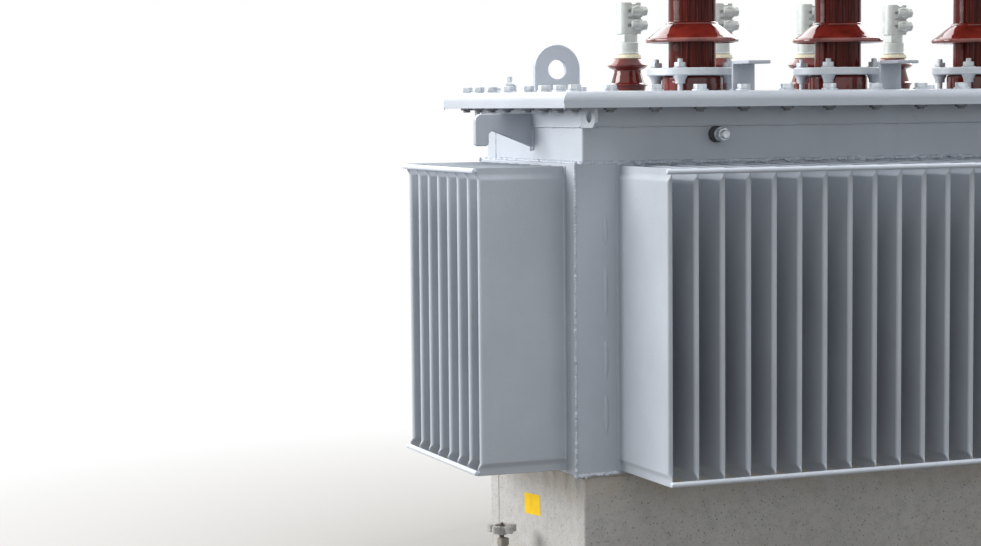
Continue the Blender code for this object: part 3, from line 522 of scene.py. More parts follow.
def glaze_material(name, centre, shed, core=0.0):
    """Glossy red-brown glaze; with a core, its shed's rim is paler, partly thinner glaze and partly painted
    highlight, and the core is streaked upright, partly its own texture and partly painted reflection.
    """
    colour = bpy.context.scene.transformer_finish.glaze
    material, tree, shader = blank(name, roughness=0.06, ior=1.55)
    place = place_of(tree)
    pools = noise(tree, place, 26, 2)
    tone = mix(tree, ramp(tree, pools, 0.36, 0.66), shade(colour, 0.55), shade(colour, 1.20))
    if core:
        away = distance_of(tree, place_of(tree, (1, 1, 0), centre))
        # A paler rim at the shed's edge: partly thinner glaze, partly a painted highlight
        edge = ramp(tree, away, *(shed * share for share in RIM_SHARES))
        rim = maths(tree, "MULTIPLY", edge, ramp(tree, pools, 0.3, 0.6, 0.10, 0.42))
        tone = mix(tree, rim, tone, (0.36, 0.15, 0.13))
        inside = ramp(tree, away, *(core + beyond for beyond in CORE_EDGE))
        # Dark and pale upright streaks on the core: partly its own streaky glaze, partly painted reflection
        fine = noise(tree, place_of(tree, (300, 300, 4), centre), 1.0, 4, 0.7)
        streaked = mix(tree, ramp(tree, fine, 0.38, 0.60), shade(colour, 0.22), shade(colour, 0.95))
        dusty = noise(tree, place_of(tree, (250, 250, 9), centre), 1.0, 5, 0.8)
        streaked = mix(tree, ramp(tree, dusty, 0.57, 0.70, 0, 0.45), streaked, (0.26, 0.16, 0.13))
        tone = mix(tree, inside, tone, streaked)
        feed(tree, shader, {"Roughness": ramp(tree, inside, 0, 1, 0.06, 0.15),
                            "Specular IOR Level": ramp(tree, inside, 0, 1, 0.5, 0.10)})
    feed(tree, shader, {"Base Color": tone})
    bump(tree, shader, noise(tree, place, 55, 2, 0.4), 0.10, 0.004)
    return material


def dusty_material(name, colour, second, scale=160, roughness=0.75, metallic=0.0, amount=0.6):
    """A matt two-tone surface, for gaskets, cast metal and rust."""
    material, tree, shader = blank(name, roughness=roughness, metallic=metallic)
    place = place_of(tree)
    patches = noise(tree, place, scale, 5, 0.7)
    tone = mix(tree, ramp(tree, patches, 0.40, 0.66, 0, amount), colour, second)
    fine = noise(tree, place, scale * 5, 3, 0.6)
    tone = mix(tree, ramp(tree, fine, 0.35, 0.7, 0, 0.35), tone, shade(colour, 0.6))
    feed(tree, shader, {"Base Color": tone})
    bump(tree, shader, patches, 0.35, 0.0015)
    return material


def label_material():
    """Plain yellow film, bleached unevenly."""
    colour = bpy.context.scene.transformer_finish.label
    material, tree, shader = blank("label_film", roughness=0.6, specular_ior_level=0.2)
    faded = noise(tree, place_of(tree), 45, 4, 0.6)
    tone = mix(tree, ramp(tree, faded, 0.35, 0.7), colour, shade(colour, 0.86))
    feed(tree, shader, {"Base Color": tone})
    bump(tree, shader, noise(tree, place_of(tree), 300, 2), 0.1, 0.0005)
    return material


def seen_directly(tree):
    """1 for camera, glossy and transmission rays, and 0 for the light that falls on the object."""
    path = node(tree, "LightPath").outputs
    mirrored = maths(tree, "MAXIMUM", path["Is Glossy Ray"], path["Is Transmission Ray"])
    return maths(tree, "MAXIMUM", path["Is Camera Ray"], mirrored)


FLOOR_SHADOW_REACH = (0.9, 2.3)


def floor_material():
    """Pale floor that keeps the shadow near the object and is plain white further off."""
    settings = bpy.context.scene.transformer_stage
    material, tree, shader = blank("stage_floor", roughness=0.9, specular_ior_level=0.1)
    clouds = ramp(tree, noise(tree, place_of(tree), 1.4, 3), 0.3, 0.7)
    tone = mix(tree, clouds, shade(settings.floor, 0.985), shade(settings.floor, 1.01))
    direct = seen_directly(tree)
    tone = mix(tree, direct, shade(settings.floor, settings.bounce), tone)
    feed(tree, shader, {"Base Color": tone})
    away = distance_of(tree, place_of(tree))
    fade = maths(tree, "MULTIPLY", ramp(tree, away, *FLOOR_SHADOW_REACH), direct)
    white = node(tree, "Emission", {"Color": (1, 1, 1, 1), "Strength": 1.0})
    blend = node(tree, "MixShader", {0: fade, 1: shader.outputs[0], 2: white.outputs[0]})
    tree.links.new(blend.outputs[0], tree.nodes["Material Output"].inputs["Surface"])
    return material


# Tank paint under other names, lighter by a factor: painted light where these parts look brighter than the
# rest of the same coat
PAINTED_LIGHT_FACTORS = {"lid_paint_painted_light": 1.03, "eye_paint_painted_light": 1.08, "neck_paint_painted_light": 1.12, "edge_bar_paint_painted_light": 1.38,
                 "weld_bead_paint_painted_light": 1.18}
FINISHES = {}


def finish_of(name):
    """Materials that several pieces share, each made once."""
    if name in FINISHES:
        return FINISHES[name]
    settings = bpy.context.scene.transformer_finish
    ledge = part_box("lower_tank")[1].z
    makers = {
        "tank_paint": lambda: paint_material(name, settings.paint),
        "fin_paint": lambda: paint_material(name, settings.paint, dust=0.25),
        "lower_box_paint": lambda: paint_material(name, settings.lower, 0.40, 0.5, ledge),
        "skid_paint": lambda: paint_material(name, shade(settings.lower, 0.75), dust=0.95, speckle=0.5),
        "zinc_plating": lambda: zinc_material(name, settings.zinc),
        # The nuts under the flange are zinc darkened as painted shade under the lid's rim
        "shaded_nuts": lambda: zinc_material(name, shade(settings.zinc, 0.36), 0.5, 0.4, 0.5),
        "terminal_metal": lambda: zinc_material(name, settings.terminal, 0.12, 0.15, 0.48, 0.92),
        "ring_metal": lambda: zinc_material(name, shade(settings.zinc, 0.82), 0.10, 0.25, 0.48, 0.94),
        "cream_gasket": lambda: dusty_material(name, settings.rubber, shade(settings.rubber, 0.6)),
        "black_rubber": lambda: dusty_material(name, (0.060, 0.066, 0.070), (0.20, 0.21, 0.22), amount=0.5),
        "valve_metal": lambda: dusty_material(name, settings.cast, (0.42, 0.38, 0.31), 120, 0.6, 0.3),
        "wheel_metal": lambda: dusty_material(name, (0.50, 0.50, 0.49), (0.27, 0.26, 0.24), 90, 0.45, 0.3),
        "plug_metal": lambda: dusty_material(name, (0.55, 0.52, 0.47), (0.24, 0.21, 0.17), 150, 0.5, 0.4),
        "rusty_steel": lambda: dusty_material(name, (0.105, 0.080, 0.066), (0.22, 0.17, 0.13), 300),
    }
    if name in PAINTED_LIGHT_FACTORS:
        FINISHES[name] = paint_material(name, shade(settings.paint, PAINTED_LIGHT_FACTORS[name]))
    else:
        FINISHES[name] = makers[name]()
    return FINISHES[name]


# Tank boxes: node, finish, slot, edge radius
# The neck's box wears the tank paint lightened as painted light, for the light that its front lacks under the
# lid
TANK_BOXES = (("neck", "neck_paint_painted_light", "paint", 0.0045), ("body_frame", "tank_paint", "paint", 0.0025),
              ("lower_tank", "lower_box_paint", "tank_paint", 0.0050),
              ("bottom_plate", "lower_box_paint", "tank_paint", 0.0015))


def paint_node(name, finish):
    """Give a CAD node that stays as it is a procedural finish."""
    slots = frame["nodes"][name].data.materials
    slots.clear()
    slots.append(finish)


class TRANSFORMER_OT_tank(bpy.types.Operator):
    """Folded boxes of the tank with softened edges, and the paint of the plain CAD pieces"""
    bl_idname = "transformer.tank"
    bl_label = "Tank boxes"

    def execute(self, context):
        for name, finish, slot, radius in TANK_BOXES:
            item = soften(block(*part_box(name)), radius)
            settle(item, name + "_box", finish_of(finish), [name])
        for name in ("skid_left", "skid_right"):
            paint_node(name, finish_of("skid_paint"))
        # The flange wears the neck's lightened tank paint, which is painted light
        paint_node("tank_flange", finish_of("neck_paint_painted_light"))
        return {"FINISHED"}


# Cooling walls
FIN_PITCH = 0.0495
FIN_THICKNESS = 0.011
FIN_COUNTS = {"front": 21, "back": 21, "left": 8, "right": 8}
FIN_TURNS = {"front": 0, "back": 180, "left": -90, "right": 90}
PINCH_SHARE = 0.30
EDGE_SHARE = 0.40
EASE_SHARES = (0.12, 0.38, 0.38, 0.12)
EDGE_RISE = 0.0009
PINCH_FLAT = 0.0095
PINCH_SLOPE = 0.0125
FIN_FLARE = 0.0045
ROOT_FILLET = 0.0045
WALL_SHEET = 0.0015
BAR_RADIUS = 0.0045
BAR_INSET = 0.0055
BAR_SEAT = 0.0027
BAR_OVERHANG = 0.0035
BAR_LONGER = 0.0070
DOT_RADIUS = 0.0026
DOT_STRETCH = (1.5, 1.2, 1)
DOT_OUT_SHARE = 0.9
DOT_INWARD_SHARE = 0.3


def fin_section(depth):
    """Half-round outer edge, straight flanks and flared roots; x across the fin, y outwards."""
    half = FIN_THICKNESS / 2
    points = arc((-half - ROOT_FILLET, ROOT_FILLET), ROOT_FILLET, -90, 0, 4)
    points += [(-half, depth - half)]
    points += arc((0, depth - half), half, 165, 15, 8)
    points += [(half, depth - half)]
    return points + arc((half + ROOT_FILLET, ROOT_FILLET), ROOT_FILLET, 180, 270, 4)


def fin_model(low, high, depth):
    """One fin standing on y = 0 and pointing to -Y, pinched shut at both ends."""
    reach = (depth + FIN_FLARE) / depth
    edge = PINCH_SHARE * EDGE_SHARE
    item = flat_face([Vector((x * edge, -y * reach, low)) for x, y in fin_section(depth)])
    middle = high - low - 2 * (EDGE_RISE + PINCH_FLAT + PINCH_SLOPE)
    rise = PINCH_SLOPE / len(EASE_SHARES)
    opening = [(EDGE_RISE, 1 / EDGE_SHARE, 1), (PINCH_FLAT, 1, 1)]
    opening += [(rise, PINCH_SHARE ** -share, reach ** -share) for share in EASE_SHARES]
    closing = [(rise, 1 / wide, 1 / deep) for rise, wide, deep in reversed(opening)]
    level = low
    for rise, wide, deep in opening + [(middle, 1, 1)] + closing:
        extrude(UP * rise)
        level += rise
        bpy.ops.transform.resize(value=(wide, deep, 1), center_override=(0, 0, level))
    weld_and_turn_out()
    return item


class TRANSFORMER_OT_fin_walls(bpy.types.Operator):
    """Four corrugated cooling walls and the round bars across their edges"""
    bl_idname = "transformer.fin_walls"
    bl_label = "Cooling walls"

    def execute(self, context):
        for side, count in FIN_COUNTS.items():
            low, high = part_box("fins_" + side)
            deep = high.x - low.x if side in SIDES else high.y - low.y
            wall = self.place(self.wall(low, high, deep, count), side, low, high)
            settle(wall, "cooling_wall_" + side, finish_of("fin_paint"), ["fins_" + side])
            bars = self.place(self.bars(low, high, deep, count), side, low, high)
            # The bars wear the tank paint lightened as painted light, for the light their round tops catch
            settle(bars, "edge_bars_" + side, finish_of("edge_bar_paint_painted_light"))
        return {"FINISHED"}

    def wall(self, low, high, deep, count):
        """The fins in a row along X, with the sheet that carries them."""
        fins = fin_model(low.z, high.z, deep - BAR_RADIUS - FIN_FLARE - BAR_SEAT)
        array(fins, count, (FIN_PITCH, 0, 0))
        activate(fins)
        fins.location.x = -(count - 1) * FIN_PITCH / 2
        bake_place()
        half = (count - 1) * FIN_PITCH / 2 + FIN_THICKNESS / 2 + ROOT_FILLET - WALL_SHEET
        return join([fins, block((-half, -WALL_SHEET, low.z), (half, 0, high.z))])

    def bars(self, low, high, deep, count):
        """The upper bar, longer at one end, and the lower one, each with a weld dot on every fin."""
        bars = []
        half = (count - 1) * FIN_PITCH / 2 + BAR_OVERHANG
        out = -(deep - BAR_RADIUS)
        for level, inward, longer in ((high.z - BAR_INSET, -1, BAR_LONGER), (low.z + BAR_INSET, 1, 0)):
            bars.append(rod(BAR_RADIUS, (-half - longer, out, level), (half, out, level), BAR))
            spot = (0, out + BAR_RADIUS * DOT_OUT_SHARE, level + inward * DOT_RADIUS * DOT_INWARD_SHARE)
            dot = start("uv_sphere", segments=10, ring_count=6, radius=DOT_RADIUS, location=spot)
            dot.scale = DOT_STRETCH
            bake_place()
            bars.append(spread(dot, [((k - (count - 1) / 2) * FIN_PITCH, 0, 0) for k in range(count)]))
        return join(bars)

    def place(self, item, side, low, high):
        """Turn an item that faces -Y to its side of the tank and move it to that wall's root."""
        roots = {"front": (0, high.y, 0), "back": (0, low.y, 0),
                 "left": (high.x, 0, 0), "right": (low.x, 0, 0)}
        activate(item)
        item.rotation_euler = (0, 0, math.radians(FIN_TURNS[side]))
        item.location = roots[side]
        bake_place()
        return item


# Lid and its bolts
LID_SHEET = 0.006
LID_BEND = 0.016
LID_EDGE = 0.0008
BOLTS_ACROSS = (0.0485, 0.1265, 0.1925)


class TRANSFORMER_OT_lid(bpy.types.Operator):
    """The folded lid with its bent upper edges"""
    bl_idname = "transformer.lid"
    bl_label = "Lid"

    def execute(self, context):
        low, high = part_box("lid")
        lid = block(low, high)
        bpy.ops.object.mode_set(mode="EDIT")
        bpy.ops.mesh.select_mode(type="EDGE")
        bpy.ops.mesh.select_all(action="DESELECT")
        bpy.ops.object.mode_set(mode="OBJECT")
        for edge in lid.data.edges:
            edge.select = all(lid.data.vertices[k].co.z > (low.z + high.z) / 2 for k in edge.vertices)
        bpy.ops.object.mode_set(mode="EDIT")
        bpy.ops.mesh.bevel(offset=LID_BEND, segments=6, affect="EDGES")
        bpy.ops.mesh.select_mode(type="VERT")
        bpy.ops.object.mode_set(mode="OBJECT")
        inner = Vector((LID_SHEET, LID_SHEET, 0))
        cut(lid, block(low + inner - UP * LID_SHEET, high - inner - UP * LID_SHEET))
        soften(lid, LID_EDGE, 2)
        # The lid wears the tank paint lightened as painted light, for the extra light it catches
        settle(lid, "folded_lid", finish_of("lid_paint_painted_light"), ["lid"])
        return {"FINISHED"}


def bolt_offsets(fixings):
    """Bolt axes round the rim, as offsets from the lid's middle."""
    low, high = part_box("lid")
    half_x = (high.x - low.x) / 2 - fixings.rim_inset
    half_y = (high.y - low.y) / 2 - fixings.rim_inset
    steps = [fixings.long_start - k * fixings.long_pitch for k in range(fixings.long_half_count)] + [half_x]
    along = [0] + [sign * x for x in steps for sign in (-1, 1)]
    places = [(x, side * half_y, 0) for x in along for side in (-1, 1)]
    corners = [(side, sign) for side in (-1, 1) for sign in (-1, 1)]
    return places + [(side * half_x, sign * y, 0) for y in BOLTS_ACROSS for side, sign in corners]


def flange_underside():
    """The lowest level of the flange outside its collar."""
    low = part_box("tank_flange")[0]
    return min(v.co.z for v in frame["nodes"]["tank_flange"].data.vertices if v.co.x < low.x + LID_SHEET)


class TRANSFORMER_OT_lid_bolts(bpy.types.Operator):
    """Bolts, washers and nuts round the lid's rim"""
    bl_idname = "transformer.lid_bolts"
    bl_label = "Lid bolts"

    def execute(self, context):
        fixings = context.scene.transformer_fixings
        places = bolt_offsets(fixings)
        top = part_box("lid")[1].z
        seat = top + fixings.washer_thickness
        head_top = seat + fixings.head_height
        washer = rod(fixings.washer_radius, (0, 0, top), (0, 0, seat), LID_WASHER)
        head = rod(fixings.head_radius, (0, 0, seat), (0, 0, head_top), HEX)
        settle(spread(join([washer, head]), places), "lid_bolt_heads", finish_of("zinc_plating"))
        nut_top = flange_underside() - SEAT
        nut_low = nut_top - fixings.nut_height
        end = nut_low - fixings.shank_end
        nut = rod(fixings.head_radius, (0, 0, nut_low), (0, 0, nut_top), FLANGE_NUT)
        shank = rod(fixings.shank_radius, (0, 0, end), (0, 0, nut_low), SHANK)
        settle(spread(join([nut, shank]), places), "lid_nuts", finish_of("shaded_nuts"))
        return {"FINISHED"}


# Lifting eyes, hooks, lashing lugs and lid brackets
EYE_HOLE_RADIUS = 0.0175
EYE_EDGE = 0.0022
HOOK_TIP_LENGTH = 0.058
HOOK_TIP_WIDTH = 0.026
HOOK_TIP_ROUND = 0.006
HOOK_BAND = 0.031
HOOK_ROOT = 0.062
HOOK_CORNER = 0.0135
HOOK_NOTCH = 0.009
HOOK_EDGE = 0.0018
LUG_CHAMFER = 0.009
LUG_HOLE_RADIUS = 0.011
LUG_HOLE_REACH = 0.032
LUG_HOLE_DROP = 0.0143
LUG_EDGE = 0.0008
BRACKET_PLACES = ("left", "middle", "right")
BRACKET_THICKNESS = 0.006
BRACKET_BEND = 0.007
BRACKET_EDGE = 0.0010


class TRANSFORMER_OT_lifting(bpy.types.Operator):
    """Lifting eyes, lifting hooks and lashing lugs with ground edges"""
    bl_idname = "transformer.lifting"
    bl_label = "Lifting points"

    def execute(self, context):
        for side in SIDES:
            self.eye("lifting_eye_" + side)
            self.hook("lifting_hook_" + side, -1 if side == "left" else 1)
            for row in ("front", "back"):
                self.lug("lashing_lug_" + row + "_" + side, -1 if row == "front" else 1)
        return {"FINISHED"}

    def eye(self, name):
        low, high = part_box(name)
        half = (high.x - low.x) / 2
        middle = (low + high) / 2
        centre = high.z - half
        outline = [(-half, low.z), (half, low.z)] + arc((0, centre), half, 0, 180, 32)
        thick = high.y - low.y
        item = prism(outline, (middle.x, middle.y, 0), (1, 0, 0), UP, thick)
        reach = Vector((0, thick, 0))
        spot = Vector((middle.x, middle.y, centre))
        cut(item, cylinder(EYE_HOLE_RADIUS, spot - reach, spot + reach, 40))
        # The eye wears the tank paint lightened as painted light, for the extra light it catches
        settle(soften(item, EYE_EDGE), name + "_plate", finish_of("eye_paint_painted_light"), [name])

    def hook(self, name, side):
        low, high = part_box(name)
        reach = high.x - low.x
        inner = reach - HOOK_TIP_WIDTH
        tip = HOOK_TIP_ROUND - HOOK_TIP_LENGTH
        outline = [(0, 0), (0, -HOOK_ROOT)]
        outline += arc((inner - HOOK_NOTCH, -HOOK_BAND - HOOK_NOTCH), HOOK_NOTCH, 90, 0, 8)
        outline += arc((inner + HOOK_TIP_ROUND, tip), HOOK_TIP_ROUND, 180, 270, 5)
        outline += arc((reach - HOOK_TIP_ROUND, tip), HOOK_TIP_ROUND, 270, 360, 5)
        outline += arc((reach - HOOK_CORNER, -HOOK_CORNER), HOOK_CORNER, 0, 90, 8)
        wall = high.x if side < 0 else low.x
        middle = (low.y + high.y) / 2
        item = prism(outline, (wall, middle, high.z), (side, 0, 0), UP, high.y - low.y)
        settle(soften(item, HOOK_EDGE), name + "_plate", finish_of("tank_paint"), [name])

    def lug(self, name, back):
        low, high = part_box(name)
        length = high.y - low.y
        root = low.y if back > 0 else high.y
        outline = [(0, high.z), (length, high.z), (length, low.z + LUG_CHAMFER),
                   (length - LUG_CHAMFER, low.z), (0, low.z)]
        thick = high.x - low.x
        middle = (low.x + high.x) / 2
        item = prism(outline, (middle, root, 0), (0, back, 0), UP, thick)
        spot = Vector((middle, root + back * LUG_HOLE_REACH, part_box("lid")[0].z - LUG_HOLE_DROP))
        reach = Vector((thick, 0, 0))
        cut(item, cylinder(LUG_HOLE_RADIUS, spot - reach, spot + reach, 32))
        settle(soften(item, LUG_EDGE, 2), name + "_plate", finish_of("tank_paint"), [name])


class TRANSFORMER_OT_brackets(bpy.types.Operator):
    """Bent brackets behind the lid's front edge"""
    bl_idname = "transformer.brackets"
    bl_label = "Brackets"

    def execute(self, context):
        wall, bend = BRACKET_THICKNESS, BRACKET_BEND
        for place in BRACKET_PLACES:
            name = "lid_bracket_" + place
            low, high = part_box(name)
            deep = high.y - low.y
            tall = high.z - low.z
            outline = [(deep, 0), (deep, tall - bend)]
            outline += arc((deep - bend, tall - bend), bend, 0, 90, 6)[1:]
            outline += [(0, tall), (0, tall - wall), (deep - wall, tall - wall), (deep - wall, 0)]
            middle = ((low.x + high.x) / 2, low.y, low.z)
            item = prism(outline, middle, (0, 1, 0), UP, high.x - low.x)
            # The brackets wear the lid's lightened tank paint, which is painted light
            finish = finish_of("lid_paint_painted_light")
            settle(soften(item, BRACKET_EDGE, 2), name + "_angle", finish, [name])
        return {"FINISHED"}


# High-voltage bushings, heights from the porcelain's foot
HV_CORE = 0.0428
HV_SHED = 0.0840
HV_PITCH = 0.100
HV_FIRST_RIM = 0.0865
HV_SHEDS = 4
HV_SHOULDER = 0.0365
HV_RIM_ROUND = 0.0038
HV_RIM_LIFT = 0.0040
HV_SKIRT = 0.0545
HV_SKIRT_HEIGHT = 0.027
HV_SKIRT_ROUND = 0.005
HV_SKIRT_FILLET = 0.002
HV_FOOT_EDGE = 0.001
HV_HEAD_RADIUS = 0.034
HV_HEAD_HEIGHT = 0.045
HV_HEAD_SUNK = 0.007
HV_HEAD_ROUND = 0.003
# A shed's shoulder, as steps out from the core and up from the shoulder's level
SHED_SHOULDER = ((0, 0.004), (0.0006, 0.0012), (0.0030, 0.0002), (0.0044, -0.0014), (0.0050, -0.0034))
# A shed's slope and underside, as radius and height above its rim
SHED_SLOPE = ((0.0580, 0.0262), (0.0680, 0.0176), (0.0755, 0.0122), (0.0786, 0.0104), (0.0800, 0.0088),
              (0.0819, 0.0080))
SHED_UNDERSIDE = ((0.0770, 0.0006), (0.0720, 0.0024), (0.0540, 0.0052), (0.0462, 0.0056), (0.0437, 0.0040),
                  (HV_CORE, 0.0005))
# Clamping ring, with the profile of its boss as radius and height above the ring's underside
RING_BORE = 0.0458
RING_LOW = 0.0273
RING_HIGH = 0.0410
RING_RADIUS = 0.0820
RING_EDGE = 0.0016
STUD_CIRCLE = 0.0685
STUD_RADIUS = 0.0050
STUD_END = 0.0165
STUD_EDGE = 0.0008
STUD_NUT = (0.0112, 0.0015, 0.0100)
STUD_NUT_TURN = math.radians(20)
STUD_WASHER_RADIUS = 0.0128
BOSS_PROFILE = ((0, 0.001), (0.0133, 0.001), (0.0133, -0.0008), (0.0094, -0.0085), (0.0092, -0.0140),
                (0.0086, -0.0146), (STUD_RADIUS, -0.0146))
# Cap with its stud, nut and washer, heights from the cap's foot
CAP_HEIGHT = 0.022
CAP_SHOULDER = 0.030
CAP_RADIUS = 0.036
CAP_ROUND = 0.003
CAP_FOOT = ((0.036, 0.004), (0.0345, 0), (0, 0))
CAP_STUD_RADIUS = 0.008
CAP_STUD_EDGE = 0.0012
CAP_FIXINGS = ((0.0160, 0.0220, 0.0330, LARGE_HEX), (0.0175, 0.0218, 0.0238, FLAT_WASHER))


def shed_profile(rim):
    """One shed from the core above it to the core below it, top to bottom."""
    points = [(HV_CORE + out, rim + HV_SHOULDER + up) for out, up in SHED_SHOULDER]
    points += [(radius, rim + up) for radius, up in SHED_SLOPE]
    points += arc((HV_SHED - HV_RIM_ROUND, rim + HV_RIM_LIFT), HV_RIM_ROUND, 60, -90, 7)
    return points + [(radius, rim + up) for radius, up in SHED_UNDERSIDE]


def hv_profile():
    top = HV_FIRST_RIM + (HV_SHEDS - 1) * HV_PITCH + HV_SHOULDER - HV_HEAD_SUNK + HV_HEAD_HEIGHT
    points = [(0, top), (HV_HEAD_RADIUS - HV_HEAD_ROUND, top), (HV_HEAD_RADIUS, top - HV_HEAD_ROUND)]
    for k in reversed(range(HV_SHEDS)):
        points += shed_profile(HV_FIRST_RIM + k * HV_PITCH)
    points += [(HV_CORE, HV_SKIRT_HEIGHT + HV_SKIRT_FILLET), (HV_CORE + HV_SKIRT_FILLET, HV_SKIRT_HEIGHT)]
    points += arc((HV_SKIRT - HV_SKIRT_ROUND, HV_SKIRT_HEIGHT - HV_SKIRT_ROUND), HV_SKIRT_ROUND, 90, 0, 5)
    return points + [(HV_SKIRT, HV_FOOT_EDGE), (HV_SKIRT - HV_FOOT_EDGE, 0), (0, 0)]


def ring_fitting(angle, centre):
    """Stud, nut, washer and cone boss of a clamping ring, at one angle."""
    foot = centre + Vector((math.cos(angle), math.sin(angle), 0)) * STUD_CIRCLE
    end = RING_HIGH + STUD_END
    boss = [(radius, RING_LOW + up) for radius, up in BOSS_PROFILE] + [(STUD_RADIUS, 0), (0, 0)]
    stem = [(0, end), (STUD_RADIUS - STUD_EDGE, end), (STUD_RADIUS, end - STUD_EDGE),
            (STUD_RADIUS, RING_HIGH), (0, RING_HIGH)]
    seat = foot + UP * RING_HIGH
    radius, low, high = STUD_NUT
    nut = rod(radius, seat + UP * low, seat + UP * high, RING_NUT, STUD_NUT_TURN)
    washer = rod(STUD_WASHER_RADIUS, seat, seat + UP * low, THIN_WASHER)
    return join([*(lathe(shape, foot, "Z", 24) for shape in (boss, stem)), nut, washer])


class TRANSFORMER_OT_hv_bushings(bpy.types.Operator):
    """High-voltage porcelains with their clamping rings and caps"""
    bl_idname = "transformer.hv_bushings"
    bl_label = "High-voltage bushings"

    def execute(self, context):
        for number in "123":
            centre = foot_of("hv_porcelain_" + number)
            porcelain = lathe(hv_profile(), centre, "Z", 64)
            glaze = glaze_material("glaze_high_" + number, centre, HV_SHED, HV_CORE)
            settle(porcelain, "sheds_high_" + number, glaze, ["hv_porcelain_" + number])
            self.ring(number, centre)
            self.cap(number)
        return {"FINISHED"}

    def ring(self, number, centre):
        inner = RING_RADIUS - RING_EDGE
        profile = [(RING_BORE, RING_HIGH), (inner, RING_HIGH), (RING_RADIUS, RING_HIGH - RING_EDGE),
                   (RING_RADIUS, RING_LOW + RING_EDGE), (inner, RING_LOW), (RING_BORE, RING_LOW),
                   (RING_BORE, RING_HIGH)]
        parts = [lathe(profile, centre, "Z", 64)]
        parts += [ring_fitting(math.radians(45 + 90 * k), centre) for k in range(4)]
        name = "hv_clamp_ring_" + number
        settle(join(parts), "clamp_ring_" + number, finish_of("ring_metal"), [name])

    def cap(self, number):
        name = "hv_terminal_" + number
        low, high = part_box(name)
        foot = foot_of(name)
        end = high.z - low.z
        profile = [(0, end), (CAP_STUD_RADIUS - CAP_STUD_EDGE, end), (CAP_STUD_RADIUS, end - CAP_STUD_EDGE)]
        profile += [(CAP_STUD_RADIUS, CAP_HEIGHT), (CAP_SHOULDER, CAP_HEIGHT)]
        profile += arc((CAP_RADIUS - CAP_ROUND, CAP_HEIGHT - CAP_ROUND), CAP_ROUND, 90, 0, 4)
        parts = [lathe([*profile, *CAP_FOOT], foot, "Z", 48)]
        parts += [rod(radius, foot + UP * under, foot + UP * over, shape)
                  for radius, under, over, shape in CAP_FIXINGS]
        settle(join(parts), "stud_cap_" + number, finish_of("zinc_plating"), [name])


# Low-voltage bushings, heights from the gasket's foot
LV_STEPS = 56
LV_SHED = 0.0385
LV_SHED_ROUND = 0.0018
LV_SHED_LEVEL = 0.0500
LV_BASE_RIM = (0.0362, 0.0130)
LV_HEAD = ((0, 0.0635), (0.0252, 0.0635), (0.0264, 0.0630), (0.0290, 0.0600), (0.0330, 0.0556),
           (0.0368, 0.0526))
LV_WAIST = ((0.0345, 0.0452), (0.0290, 0.0432), (0.0262, 0.0415), (0.0256, 0.0395), (0.0266, 0.0350),
            (0.0310, 0.0195), (0.0318, 0.0172), (0.0340, 0.0162))
LV_BASE = ((0.0352, 0.0105), (0.0342, 0.0060), (0.0340, 0.0036), (0.0330, 0.0030), (0, 0.0030))
FOOT_GASKET = ((0, 0.0028), (0.0325, 0.0028), (0.0332, 0.0020), (0.0330, 0), (0, 0))
HEAD_GASKET = ((0, 0.0715), (0.0236, 0.0715), (0.0246, 0.0706), (0.0268, 0.0644), (0.0262, 0.0637),
               (0, 0.0636))
# Low-voltage terminals: round nut, hexagon, then a clamp whose sizes are taken from its own foot
LV_NUT_HEIGHT = 0.023
LV_NUT = ((0, LV_NUT_HEIGHT), (0.0196, LV_NUT_HEIGHT), (0.0205, LV_NUT_HEIGHT - 0.001), (0.0205, 0.0035),
          (0.0216, 0.0025), (0.0216, 0.0006), (0.0208, 0), (0, 0))
LV_HEX_RADIUS = 0.0197
LV_HEX_HEIGHT = 0.0157
LV_HEX_TURN = 0.3
CLAMP_LEVELS = (0.0165, 0.0435)
CLAMP_RIGHT = ((0.0195, -0.016), (0.0225, -0.013), (0.0225, 0.015), (0.0195, 0.018))
CLAMP_ROUND = 0.014
CLAMP_ROUND_CENTRES = ((-0.007, 0.004), (-0.007, -0.002))
CLAMP_EDGE = 0.0016
VALLEY_RADIUS = 0.0062
VALLEY_CENTRE = (0.0060, 0.0030)
VALLEY_REACH = Vector((0, 0.03, 0))
SLOT_CORNER = Vector((-0.0065, -0.030, -0.0030))
SLOT_SIZE = Vector((0.0075, 0.018, 0.0058))
GAP_CORNER = Vector((-0.0060, -0.030, CLAMP_LEVELS[0] + 0.0115))
GAP_SIZE = Vector((0.040, 0.0170, 0.0050))
# Bolts through the clamp: a boss with a smaller round face, and a head
CLAMP_BOSS_RADIUS = 0.0120
CLAMP_FACE_SHARE = 0.92
CLAMP_HEAD_RADIUS = 0.0100
CLAMP_BOLT_OUT = 0.009
CLAMP_BOSS_REACH = (0.0005, 0.0262)
CLAMP_FACE_PLACE = 0.0125
CLAMP_FACE_REACH = (0.004, 0.0198)
CLAMP_HEAD_END = 0.0352
CLAMP_HEAD_TURN = 0.4


def lv_profile():
    """Glazed body between the cream gaskets, top to bottom."""
    shed = arc((LV_SHED - LV_SHED_ROUND, LV_SHED_LEVEL), LV_SHED_ROUND, 48, -80, 7)
    rim = arc(LV_BASE_RIM, LV_SHED_ROUND, 70, -70, 5)
    return [*LV_HEAD, *shed, *LV_WAIST, *rim, *LV_BASE]


